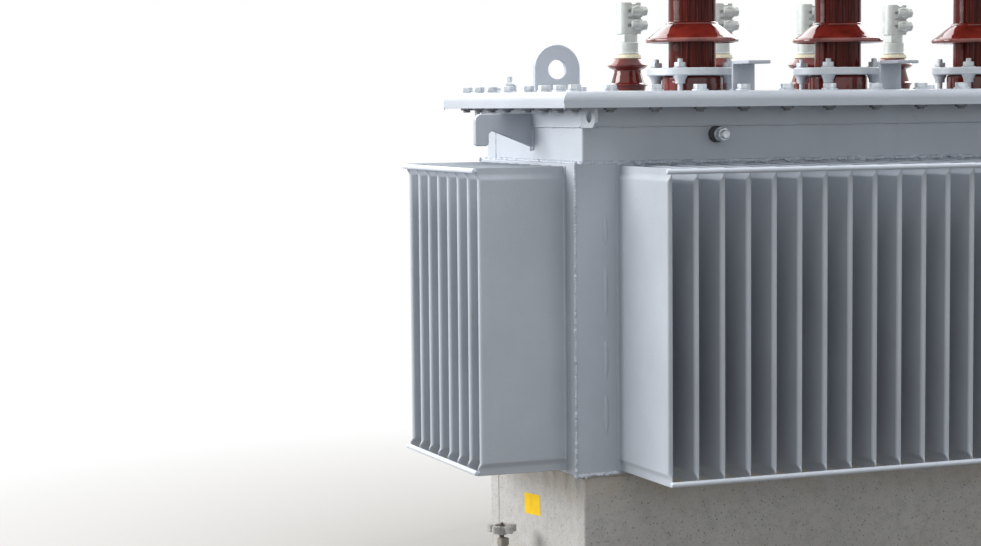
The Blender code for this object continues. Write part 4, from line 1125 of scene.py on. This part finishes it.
class TRANSFORMER_OT_lv_bushings(bpy.types.Operator):
    """Low-voltage porcelains, gaskets and clamp terminals"""
    bl_idname = "transformer.lv_bushings"
    bl_label = "Low-voltage bushings"

    def execute(self, context):
        for number in "1234":
            centre = foot_of("lv_porcelain_" + number)
            porcelain = lathe(lv_profile(), centre, "Z", LV_STEPS)
            glaze = glaze_material("glaze_low_" + number, centre, LV_SHED)
            settle(porcelain, "shed_low_" + number, glaze, ["lv_porcelain_" + number])
            rings = join([lathe(profile, centre, "Z", LV_STEPS) for profile in (FOOT_GASKET, HEAD_GASKET)])
            settle(rings, "gaskets_low_" + number, finish_of("cream_gasket"))
            self.terminal("lv_terminal_" + number, "clamp_low_" + number, centre)
        return {"FINISHED"}

    def terminal(self, name, piece, centre):
        low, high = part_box(name)
        seat = Vector((centre.x, centre.y, low.z))
        foot = seat + UP * (LV_NUT_HEIGHT + LV_HEX_HEIGHT)
        hexagon = rod(LV_HEX_RADIUS, seat + UP * LV_NUT_HEIGHT, foot, HEX, LV_HEX_TURN)
        parts = [lathe(LV_NUT, seat, "Z", 40), hexagon, self.casting(foot, high.z)]
        for level in CLAMP_LEVELS:
            parts += self.clamp_bolt(foot, foot.z + level)
        settle(join(parts), piece, finish_of("terminal_metal"), [name])

    def casting(self, foot, top):
        """Upright block, round on its left, with a valley across its top and slots where its halves meet."""
        back, front = CLAMP_ROUND_CENTRES
        plan = [*CLAMP_RIGHT, *arc(back, CLAMP_ROUND, 90, 180, 6), *arc(front, CLAMP_ROUND, 180, 270, 6)]
        tall = top - foot.z
        item = prism(plan, foot + UP * tall / 2, (1, 0, 0), (0, 1, 0), tall)
        valley = Vector((foot.x + VALLEY_CENTRE[0], foot.y, top + VALLEY_CENTRE[1]))
        cut(item, cylinder(VALLEY_RADIUS, valley - VALLEY_REACH, valley + VALLEY_REACH, 20))
        for level in CLAMP_LEVELS:
            corner = foot + SLOT_CORNER + UP * level
            cut(item, block(corner, corner + SLOT_SIZE))
        gap = foot + GAP_CORNER
        cut(item, block(gap, gap + GAP_SIZE))
        return soften(item, CLAMP_EDGE, 3)

    def clamp_bolt(self, foot, z):
        """A thick boss on the block's front, with the bolt's head beyond its right side."""
        y = foot.y - CLAMP_BOLT_OUT
        left, right = (foot.x + reach for reach in CLAMP_BOSS_REACH)
        middle = foot.x + CLAMP_FACE_PLACE
        inside, outside = y + CLAMP_FACE_REACH[0], foot.y - CLAMP_FACE_REACH[1]
        face_radius = CLAMP_BOSS_RADIUS * CLAMP_FACE_SHARE
        end = foot.x + CLAMP_HEAD_END
        return [rod(CLAMP_BOSS_RADIUS, (left, y, z), (right, y, z), CLAMP_BOSS),
                rod(face_radius, (middle, inside, z), (middle, outside, z), CLAMP_FACE),
                rod(CLAMP_HEAD_RADIUS, (right, y, z), (end, y, z), LARGE_HEX, CLAMP_HEAD_TURN)]


# Thermometer pocket, heights from its foot, and earthing stud, distances from the neck
POCKET_PROFILE = ((0, 0.021), (0.0068, 0.021), (0.0085, 0.0205), (0.0135, 0.0168), (0.0147, 0.0150),
                  (0.0147, 0.0010), (0.0140, 0), (0, 0))
POCKET_PLUG = (0.0068, 0.020, 0.031)
EARTH_BOSS = ((0, -0.0120), (0.0128, -0.0120), (0.0143, -0.0106), (0.0145, -0.0070), (0.0138, -0.0062),
              (0.0145, -0.0052), (0.0145, 0), (0, 0))
EARTH_TIP = ((0, -0.0420), (0.0066, -0.0420), (0.0076, -0.0408))
EARTH_ROOT = ((0.0076, -0.0115), (0, -0.0115))
EARTH_THREAD = ((0.0076, -0.0400), (0.0069, -0.0390))
EARTH_THREAD_PITCH = 0.002
EARTH_THREADS = 14
EARTH_NUT_TURN = 0.2
# Nut and washers on the stud: radius, outer and inner end, shape, turn
EARTH_FIXINGS = ((0.0125, 0.0340, 0.0240, LARGE_HEX, EARTH_NUT_TURN),
                 (0.0128, 0.0238, 0.0218, FLAT_WASHER, 0), (0.0128, 0.0212, 0.0186, FLAT_WASHER, 0))


class TRANSFORMER_OT_small_fittings(bpy.types.Operator):
    """Thermometer pocket on the lid and earthing stud on the neck"""
    bl_idname = "transformer.small_fittings"
    bl_label = "Pocket and earthing stud"

    def execute(self, context):
        self.pocket()
        self.earth()
        return {"FINISHED"}

    def pocket(self):
        foot = foot_of("thermometer_pocket")
        radius, low, high = POCKET_PLUG
        plug = rod(radius, foot + UP * low, foot + UP * high, SMALL_HEX)
        item = join([lathe(POCKET_PROFILE, foot, "Z", 40), plug])
        settle(item, "pocket_and_plug", finish_of("zinc_plating"), ["thermometer_pocket"])

    def earth(self):
        low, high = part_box("earth_stud")
        foot = Vector(((low.x + high.x) / 2, high.y, (low.z + high.z) / 2))
        boss = lathe(EARTH_BOSS, foot, "Y", 40)
        settle(boss, "earth_boss", finish_of("black_rubber"), ["earth_stud"])
        thread = [(radius, out + k * EARTH_THREAD_PITCH) for k in range(EARTH_THREADS)
                  for radius, out in EARTH_THREAD]
        parts = [lathe([*EARTH_TIP, *thread, *EARTH_ROOT], foot, "Y", 24)]
        parts += [rod(radius, foot + FORWARD * outer, foot + FORWARD * inner, shape, turn)
                  for radius, outer, inner, shape, turn in EARTH_FIXINGS]
        settle(join(parts), "earth_bolt", finish_of("zinc_plating"))


# Drain valve. The flange's distances run from the tank, the nose's from the free end, the bonnet's heights
# from the gland's top, and the bonnet root's heights from the pipe's axis
VALVE_FLANGE = ((0, 0), (0.0165, 0), (0.0165, -0.0030), (0.0150, -0.0042), (0.0118, -0.0048),
                (0.0108, -0.0180), (0.0108, -0.0300), (0.0122, -0.0400))
VALVE_MIDDLE = ((0.0132, 0), (0.0124, -0.0160))
VALVE_NOSE = ((0.0112, 0.0160), (0.0128, 0.0145), (0.0136, 0.0120), (0.0136, 0.0030), (0.0126, 0), (0, 0))
VALVE_NUT = (0.0164, 0.0120, 0.0220)
VALVE_NUT_TURN = 0.5
BONNET_TOP = ((0, 0), (0.0048, 0), (0.0076, -0.0016), (0.0076, -0.0150), (0.0080, -0.0200),
              (0.0095, -0.0320))
BONNET_ROOT = ((0.0112, 0.0110), (0.0124, 0.0020), (0, 0.0020))
GLAND = (0.0113, 0.0150, 0.0012)
GLAND_TURN = 0.35
PLUG_COLLAR = ((0, 0), (0.0138, 0), (0.0150, -0.0012), (0.0150, -0.0048), (0.0136, -0.0060), (0, -0.0060))
PLUG_HEX_RADIUS = 0.0090
PLUG_HEX_START = 0.0055
PLUG_HEX_TURN = 0.25
# Handwheel, with the profiles of its hub, washer and screw
WHEEL_RADIUS = 0.0285
WHEEL_LOBE = 0.0045
WHEEL_LOBES = 5
WHEEL_STEPS = 80
WHEEL_THICKNESS = 0.012
WHEEL_HUB = 0.005
WHEEL_DISH = 0.0048
WHEEL_DISH_RADIUS = 0.0125
WHEEL_POCKET_CIRCLE = 0.0196
WHEEL_POCKET_RADIUS = 0.0042
WHEEL_OVERCUT = UP * 0.01
WHEEL_EDGE = 0.0030
HUB_PROFILE = ((0, 0.0010), (0.0098, 0.0010), (0.0098, -0.0040), (0.0086, -0.0050), (0, -0.0050))
WHEEL_WASHER = ((0, 0.0006), (0.0086, 0.0006), (0.0090, 0), (0, 0))
WHEEL_SCREW = ((0.0058, 0.0006, 0.0050, SMALL_HEX), (0.0030, 0.0050, 0.0098, SCREW))
STEM_FOOT_RADIUS = 0.0042
STEM_RADIUS = 0.0044
STEM_THREAD = ((STEM_RADIUS, 0.0008), (0.0039, 0.0016))
STEM_THREAD_PITCH = 0.0015
STEM_THREADS = 3
STEM_HEADROOM = 0.0045


class TRANSFORMER_OT_drain_valve(bpy.types.Operator):
    """Drain valve, its plug, and the lobed handwheel on its stem"""
    bl_idname = "transformer.drain_valve"
    bl_label = "Drain valve"

    def execute(self, context):
        low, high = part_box("drain_valve")
        plug_low, plug_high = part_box("drain_plug")
        level = (plug_low.z + plug_high.z) / 2
        self.body(low, high, foot_of("handwheel").x, level)
        self.plug(plug_low, plug_high, level)
        axis = frame["joints"][0]["pos_m"]
        centre = Vector((axis[0], axis[1], 0))
        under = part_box("handwheel")[1].z - WHEEL_HUB - WHEEL_THICKNESS
        self.wheel(centre, under)
        self.stem(centre, under, high.z)
        return {"FINISHED"}

    def body(self, low, high, stem, level):
        wall = high.x
        profile = list(VALVE_FLANGE)
        profile += [(radius, stem - wall + out) for radius, out in VALVE_MIDDLE]
        profile += [(radius, low.x - wall + out) for radius, out in VALVE_NOSE]
        parts = [lathe(profile, (wall, 0, level), "X", 36)]
        radius, near, far = VALVE_NUT
        parts.append(rod(radius, (stem + near, 0, level), (stem + far, 0, level), VALVE_HEX, VALVE_NUT_TURN))
        bonnet = [(radius, high.z - level + up) for radius, up in BONNET_TOP]
        parts.append(lathe([*bonnet, *BONNET_ROOT], (stem, 0, level), "Z", 32))
        radius, under, over = GLAND
        top, foot = (stem, 0, high.z - over), (stem, 0, high.z - under)
        parts.append(rod(radius, foot, top, LARGE_HEX, GLAND_TURN))
        settle(join(parts), "valve_body", finish_of("valve_metal"), ["drain_valve"])

    def plug(self, low, high, level):
        root = (high.x - PLUG_HEX_START, 0, level)
        head = rod(PLUG_HEX_RADIUS, root, (low.x, 0, level), HEX, PLUG_HEX_TURN)
        item = join([lathe(PLUG_COLLAR, (high.x, 0, level), "X", 36), head])
        settle(item, "plug_and_collar", finish_of("plug_metal"), ["drain_plug"])

    def wheel(self, centre, under):
        """A thick lobed wheel with a sunk middle and a pocket between each pair of lobes."""
        rim = []
        for k in range(WHEEL_STEPS):
            angle = math.tau * k / WHEEL_STEPS
            radius = WHEEL_RADIUS + WHEEL_LOBE * (math.cos(WHEEL_LOBES * angle) - 1)
            rim.append(centre + Vector((radius * math.cos(angle), radius * math.sin(angle), under)))
        wheel = flat_face(rim)
        extrude(UP * WHEEL_THICKNESS)
        weld_and_turn_out()
        low = centre + UP * under
        high = centre + UP * (under + WHEEL_THICKNESS)
        dish = high - UP * WHEEL_DISH
        cut(wheel, cylinder(WHEEL_DISH_RADIUS, dish, high + WHEEL_OVERCUT, 32))
        for k in range(WHEEL_LOBES):
            angle = math.tau * (k + 0.5) / WHEEL_LOBES
            spot = Vector((math.cos(angle), math.sin(angle), 0)) * WHEEL_POCKET_CIRCLE
            ends = (low + spot - WHEEL_OVERCUT, high + spot + WHEEL_OVERCUT)
            cut(wheel, cylinder(WHEEL_POCKET_RADIUS, *ends, 20))
        soften(wheel, WHEEL_EDGE, 4)
        item = join([wheel, lathe(HUB_PROFILE, low, "Z", 32), lathe(WHEEL_WASHER, dish, "Z", 32)])
        settle(item, "valve_wheel", finish_of("wheel_metal"), ["handwheel"], "handwheel")

    def stem(self, centre, under, gland):
        """The rusty stem below the wheel, and the screw that ends it in the wheel's sunk middle."""
        end = under - STEM_HEADROOM - gland
        thread = [(radius, up + k * STEM_THREAD_PITCH) for k in range(STEM_THREADS)
                  for radius, up in STEM_THREAD]
        profile = [(0, 0), (STEM_FOOT_RADIUS, 0), *thread, (STEM_RADIUS, end), (0, end)]
        dish = centre + UP * (under + WHEEL_THICKNESS - WHEEL_DISH)
        parts = [lathe(profile, centre + UP * (gland + SEAT), "Z", 20)]
        parts += [rod(radius, dish + UP * low, dish + UP * high, shape)
                  for radius, low, high, shape in WHEEL_SCREW]
        settle(join(parts), "valve_stem", finish_of("rusty_steel"), (), "handwheel")


# Weld beads: name, then radius, lumpiness (a lumpy bead wanders further) and finish
# The lighter bead finish is tank paint lightened as painted light, for the light the proud beads catch
BEADS = {"body_corner_beads": (0.0030, 1.9, "tank_paint"),
         "body_foot_beads": (0.0036, 2.2, "weld_bead_paint_painted_light"),
         "neck_foot_bead": (0.0043, 3.0, "weld_bead_paint_painted_light"),
         "lower_box_bead": (0.0020, 1.0, "lower_box_paint"),
         "plate_bead": (0.0026, 1.0, "lower_box_paint"),
         "collar_bead": (0.0015, 1.0, "weld_bead_paint_painted_light"),
         "fitting_beads": (0.0028, 1.0, "weld_bead_paint_painted_light"),
         "lid_corner_beads": (0.0017, 1.0, "weld_bead_paint_painted_light"),
         "neck_seam": (0.0013, 1.0, "tank_paint"),
         "lower_seam": (0.0011, 0.4, "skid_paint")}
BEAD_SEGMENTS = 7
BEAD_RINGS = 5
BEAD_OVERLAP_SHARE = 0.85
BEAD_CLOUD = 0.011
BEAD_END = 0.002
SEAM_SHARE = 0.90
SEAM_END = 0.003
CORNER_ENDS = (0.001, 0.002)
FOOT_RISE = (0.0022, 0.0030)
LUMP_RISE = (0.0012, 0.0002)
LUMP_SHARE = 0.22
LID_BEAD_INSET = 0.0008
HOOK_BEAD_INSET = 0.0005
HOOK_BEAD_SPAN = (0.063, 0.022)


def ripples(start_at, end_at, radius):
    """A weld bead: overlapping blobs in a row from one point to another."""
    pitch = bpy.context.scene.transformer_welds.pitch
    first, last = Vector(start_at), Vector(end_at)
    along = last - first
    count = max(2, round(along.length / pitch))
    blob = start("uv_sphere", segments=BEAD_SEGMENTS, ring_count=BEAD_RINGS, radius=radius, location=first)
    blob.rotation_euler = along.to_track_quat("Z", "Y").to_euler()
    blob.scale = (1, 1, pitch / radius * BEAD_OVERLAP_SHARE)
    bake_place()
    return array(blob, count, along / (count - 1))


def bead_piece(name, runs):
    """Join the beads of one seam and make them uneven."""
    welds = bpy.context.scene.transformer_welds
    radius, lumpy, finish = BEADS[name]
    item = join([ripples(first, last, radius * welds.scale) for first, last in runs])
    pattern = bpy.data.textures.new(name + "_wander", "CLOUDS")
    pattern.noise_scale = BEAD_CLOUD
    modify(item, "DISPLACE", texture=pattern, texture_coords="LOCAL", direction="RGB_TO_XYZ",
           strength=welds.roughness * lumpy, mid_level=0.5)
    return settle(item, name, finish_of(finish))


def flange_collar():
    """Lowest and highest corner of the flange's collar on the neck."""
    low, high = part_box("tank_flange")
    spots = [v.co for v in frame["nodes"]["tank_flange"].data.vertices if v.co.z < low.z + LID_SHEET]
    lowest = Vector((min(v.x for v in spots), min(v.y for v in spots), low.z))
    return lowest, Vector((max(v.x for v in spots), max(v.y for v in spots), high.z))


class TRANSFORMER_OT_welds(bpy.types.Operator):
    """Weld beads on the tank's seams and round what is welded to it"""
    bl_idname = "transformer.welds"
    bl_label = "Weld beads"

    def execute(self, context):
        body_low, body_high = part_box("body_frame")
        neck_low, neck_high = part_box("neck")
        lower_low, lower_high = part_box("lower_tank")
        collar_low, collar_high = flange_collar()
        bead_piece("body_corner_beads", self.corners(body_low, body_high))
        bead_piece("body_foot_beads", self.foot(body_low, body_high))
        bead_piece("neck_foot_bead", self.loop(neck_low, neck_high, neck_low.z))
        bead_piece("lower_box_bead", self.loop(lower_low, lower_high, lower_high.z))
        bead_piece("plate_bead", self.loop(lower_low, lower_high, lower_low.z))
        bead_piece("collar_bead", self.loop(collar_low, collar_high, collar_low.z))
        bead_piece("fitting_beads", self.fittings())
        bead_piece("lid_corner_beads", self.lid_corners())
        spot = neck_low.y + (neck_high.y - neck_low.y) * SEAM_SHARE
        bead_piece("neck_seam", [self.seam(neck_low.x, spot, neck_low.z, collar_low.z)])
        bead_piece("lower_seam", [self.seam(lower_low.x, spot, lower_low.z, lower_high.z)])
        return {"FINISHED"}

    def corners(self, low, high):
        below, above = CORNER_ENDS
        return [((x, y, low.z + below), (x, y, high.z - above))
                for x in (low.x, high.x) for y in (low.y, high.y)]

    def loop(self, low, high, level):
        corners = ((low.x, low.y), (high.x, low.y), (high.x, high.y), (low.x, high.y))
        spots = [(x, y, level) for x, y in corners]
        return list(zip(spots, spots[1:] + spots[:1]))

    def seam(self, x, y, low, high):
        return (x, y, low + SEAM_END), (x, y, high - SEAM_END)

    def foot(self, low, high):
        """Under the body's end strips, from corner to fins, with a lump at each corner."""
        fins_low, fins_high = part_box("fins_front")
        runs = []
        for y in (low.y, high.y):
            for corner, fins in ((low.x, fins_low.x), (high.x, fins_high.x)):
                lump = corner + (fins - corner) * LUMP_SHARE
                for end, (near, far) in ((fins, FOOT_RISE), (lump, LUMP_RISE)):
                    runs.append(((corner, y, low.z + near), (end, y, low.z + far)))
        return runs

    def lid_corners(self):
        low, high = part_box("lid")
        inset = LID_BEAD_INSET
        return [((x, y, low.z + BEAD_END), (x, y, high.z - LID_BEND)) for x in (low.x + inset, high.x - inset)
                for y in (low.y + inset, high.y - inset)]

    def fittings(self):
        """Both flanks of the hooks and eyes, and the brackets' feet, where they meet what carries them."""
        runs = []
        below, above = HOOK_BEAD_SPAN
        for side in SIDES:
            low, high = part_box("lifting_hook_" + side)
            wall = high.x - HOOK_BEAD_INSET if side == "left" else low.x + HOOK_BEAD_INSET
            runs += [((wall, y, high.z - below), (wall, y, high.z - above)) for y in (low.y, high.y)]
            low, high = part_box("lifting_eye_" + side)
            runs += [((low.x + BEAD_END, y, low.z), (high.x - BEAD_END, y, low.z)) for y in (low.y, high.y)]
        for place in BRACKET_PLACES:
            low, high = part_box("lid_bracket_" + place)
            runs.append(((low.x + BEAD_END, high.y, low.z), (high.x - BEAD_END, high.y, low.z)))
        return runs


# Pressed ridges: where each starts and ends, as shares of the body's height, and where on the strip
RIDGE_SPAN_SHARES = ((0.12, 0.27), (0.30, 0.44), (0.50, 0.68), (0.73, 0.84))
RIDGE_PLACE_SHARE = 0.72
RIDGE_RADIUS = 0.0058
RIDGE_PROUD = 0.0031
RIDGE_SUNK = RIDGE_RADIUS - RIDGE_PROUD
RIDGE_TAPER = 0.020
RIDGE_POINT = 0.004
RIDGE_POINT_SHARE = 0.8


class TRANSFORMER_OT_ridges(bpy.types.Operator):
    """Faint upright ridges where the stiffeners inside press on the body's end strips"""
    bl_idname = "transformer.ridges"
    bl_label = "Pressed ridges"

    def execute(self, context):
        low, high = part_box("body_frame")
        fins_low, fins_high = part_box("fins_front")
        tall = high.z - low.z
        ridges = [self.ridge(low.z + tall * lower, low.z + tall * upper)
                  for lower, upper in RIDGE_SPAN_SHARES]
        offsets = [(corner + (fins - corner) * RIDGE_PLACE_SHARE, y, 0)
                   for y in (low.y + RIDGE_SUNK, high.y - RIDGE_SUNK)
                   for corner, fins in ((low.x, fins_low.x), (high.x, fins_high.x))]
        item = spread(join(ridges), offsets)
        settle(item, "pressed_ridges", finish_of("tank_paint"))
        return {"FINISHED"}

    def ridge(self, lower, upper):
        """A round bar with long tapered ends, most of which is sunk in the strip."""
        point = RIDGE_SUNK * RIDGE_POINT_SHARE
        upper_end = [(0, upper + RIDGE_POINT), (point, upper), (RIDGE_RADIUS, upper - RIDGE_TAPER)]
        lower_end = [(RIDGE_RADIUS, lower + RIDGE_TAPER), (point, lower), (0, lower - RIDGE_POINT)]
        return lathe(upper_end + lower_end, (0, 0, 0), "Z", 40)


# Sticker: width and height, place along the box's side and above the floor, and tilt
LABEL_SIZE = (0.074, 0.0385)
LABEL_PLACE = (0.012, 0.1975)
LABEL_TURN = math.radians(4.6)
LABEL_THICKNESS = 0.0004
LABEL_CORNER = 0.0022


class TRANSFORMER_OT_label(bpy.types.Operator):
    """Plain yellow sticker on the lower box"""
    bl_idname = "transformer.label"
    bl_label = "Blank label"

    def execute(self, context):
        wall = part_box("lower_tank")[0].x
        wide, high = LABEL_SIZE[0] / 2, LABEL_SIZE[1] / 2
        outline = [(-wide, -high), (wide, -high), (wide, high), (-wide, high)]
        across = (0, math.cos(LABEL_TURN), -math.sin(LABEL_TURN))
        upright = (0, math.sin(LABEL_TURN), math.cos(LABEL_TURN))
        item = prism(outline, (wall - LABEL_THICKNESS / 2, *LABEL_PLACE), across, upright, LABEL_THICKNESS)
        modify(item, "BEVEL", width=LABEL_CORNER, segments=3, limit_method="ANGLE", affect="EDGES",
               angle_limit=math.radians(80))
        settle(item, "blank_label", label_material())
        return {"FINISHED"}


# Camera at the photograph's viewpoint: degrees about X, Y and Z, and the lens for a 36 mm sensor
CAMERA_PLACE = (-2.15429, -3.76334, 0.93758)
CAMERA_TURN = (85.666, 0.509, -21.803)
CAMERA_LENS = 82.03
SENSOR_WIDTH = 36.0
FLOOR_SIZE = 80.0
SKY_TINT = (0.94, 0.97, 1.0, 1)
# Lamps: name, place, and width and height
LAMP_AIM = Vector((0, 0, 0.9))
KEY_LAMP = ("key_lamp", (-5.3, 1.9, 2.5), (3.4, 2.6))
TOP_LAMP = ("top_lamp", (-0.3, -1.3, 4.8), (3.5, 2.6))
FRONT_LAMP = ("front_lamp", (-1.6, -5.5, 2.0), (3.6, 2.6))
BACK_LAMPS = (("back_left_lamp", (-0.6, 5.0, 4.5), (4.6, 4.6)),
              ("back_right_lamp", (4.4, 3.4, 3.9), (3.4, 4.0)))


class TRANSFORMER_OT_stage(bpy.types.Operator):
    """Floor, lamps, sky and the camera"""
    bl_idname = "transformer.stage"
    bl_label = "Stage"

    def execute(self, context):
        settings = context.scene.transformer_stage
        floor = start("plane", size=FLOOR_SIZE)
        floor.name = "stage_floor"
        floor.data.materials.append(floor_material())
        self.camera(context)
        self.lamp(context, settings.key, *KEY_LAMP)
        for lamp in BACK_LAMPS:
            self.lamp(context, settings.back, *lamp)
        self.lamp(context, settings.top, *TOP_LAMP).visible_glossy = False
        self.lamp(context, settings.front, *FRONT_LAMP).visible_glossy = False
        self.sky(context, settings)
        context.scene.view_settings.view_transform = "Standard"
        return {"FINISHED"}

    def camera(self, context):
        data = bpy.data.cameras.new("camera")
        data.lens = CAMERA_LENS
        data.sensor_width = SENSOR_WIDTH
        item = bpy.data.objects.new("camera", data)
        context.scene.collection.objects.link(item)
        item.location = CAMERA_PLACE
        item.rotation_euler = [math.radians(angle) for angle in CAMERA_TURN]
        context.scene.camera = item

    def lamp(self, context, power, name, place, size):
        data = bpy.data.lights.new(name, "AREA")
        data.energy = power
        data.shape = "RECTANGLE"
        data.size, data.size_y = size
        item = bpy.data.objects.new(name, data)
        context.scene.collection.objects.link(item)
        item.location = place
        item.rotation_euler = (LAMP_AIM - Vector(place)).to_track_quat("-Z", "Y").to_euler()
        item.visible_camera = False
        return item

    def sky(self, context, settings):
        world = bpy.data.worlds.new("even_sky")
        context.scene.world = world
        world.use_nodes = True
        tree = world.node_tree
        even = tree.nodes["Background"]
        even.inputs["Color"].default_value = SKY_TINT
        even.inputs["Strength"].default_value = settings.sky
        white = node(tree, "Background", {"Color": (1, 1, 1, 1), "Strength": 1.0})
        blend = node(tree, "MixShader", {0: seen_directly(tree), 1: even.outputs[0], 2: white.outputs[0]})
        tree.links.new(blend.outputs[0], tree.nodes["World Output"].inputs["Surface"])


PIECES = (TRANSFORMER_OT_tank, TRANSFORMER_OT_fin_walls, TRANSFORMER_OT_lid, TRANSFORMER_OT_lid_bolts,
          TRANSFORMER_OT_lifting, TRANSFORMER_OT_brackets, TRANSFORMER_OT_hv_bushings,
          TRANSFORMER_OT_lv_bushings, TRANSFORMER_OT_small_fittings, TRANSFORMER_OT_drain_valve,
          TRANSFORMER_OT_welds, TRANSFORMER_OT_ridges, TRANSFORMER_OT_label, TRANSFORMER_OT_stage)
SETTINGS = {"transformer_finish": TransformerFinish, "transformer_fixings": TransformerFixings,
            "transformer_welds": TransformerWelds, "transformer_stage": TransformerStage}


class TRANSFORMER_PT_panel(bpy.types.Panel):
    """Settings and pieces of the transformer"""
    bl_label = "Distribution transformer"
    bl_idname = "TRANSFORMER_PT_panel"
    bl_space_type = "VIEW_3D"
    bl_region_type = "UI"
    bl_category = "Transformer"

    def draw(self, context):
        for name, group in SETTINGS.items():
            column = self.layout.column(heading=name.replace("transformer_", "").title())
            for key in group.__annotations__:
                column.prop(getattr(context.scene, name), key)
        for piece in PIECES:
            self.layout.operator(piece.bl_idname)


def register():
    for group in (*SETTINGS.values(), *PIECES, TRANSFORMER_PT_panel):
        bpy.utils.register_class(group)
    for name, group in SETTINGS.items():
        setattr(bpy.types.Scene, name, PointerProperty(type=group))


def unregister():
    for name in SETTINGS:
        delattr(bpy.types.Scene, name)
    for group in reversed((*SETTINGS.values(), *PIECES, TRANSFORMER_PT_panel)):
        bpy.utils.unregister_class(group)


def main():
    register()
    for piece in PIECES:
        section, action = piece.bl_idname.split(".")
        getattr(getattr(bpy.ops, section), action)()


if __name__ == "__main__":
    main()
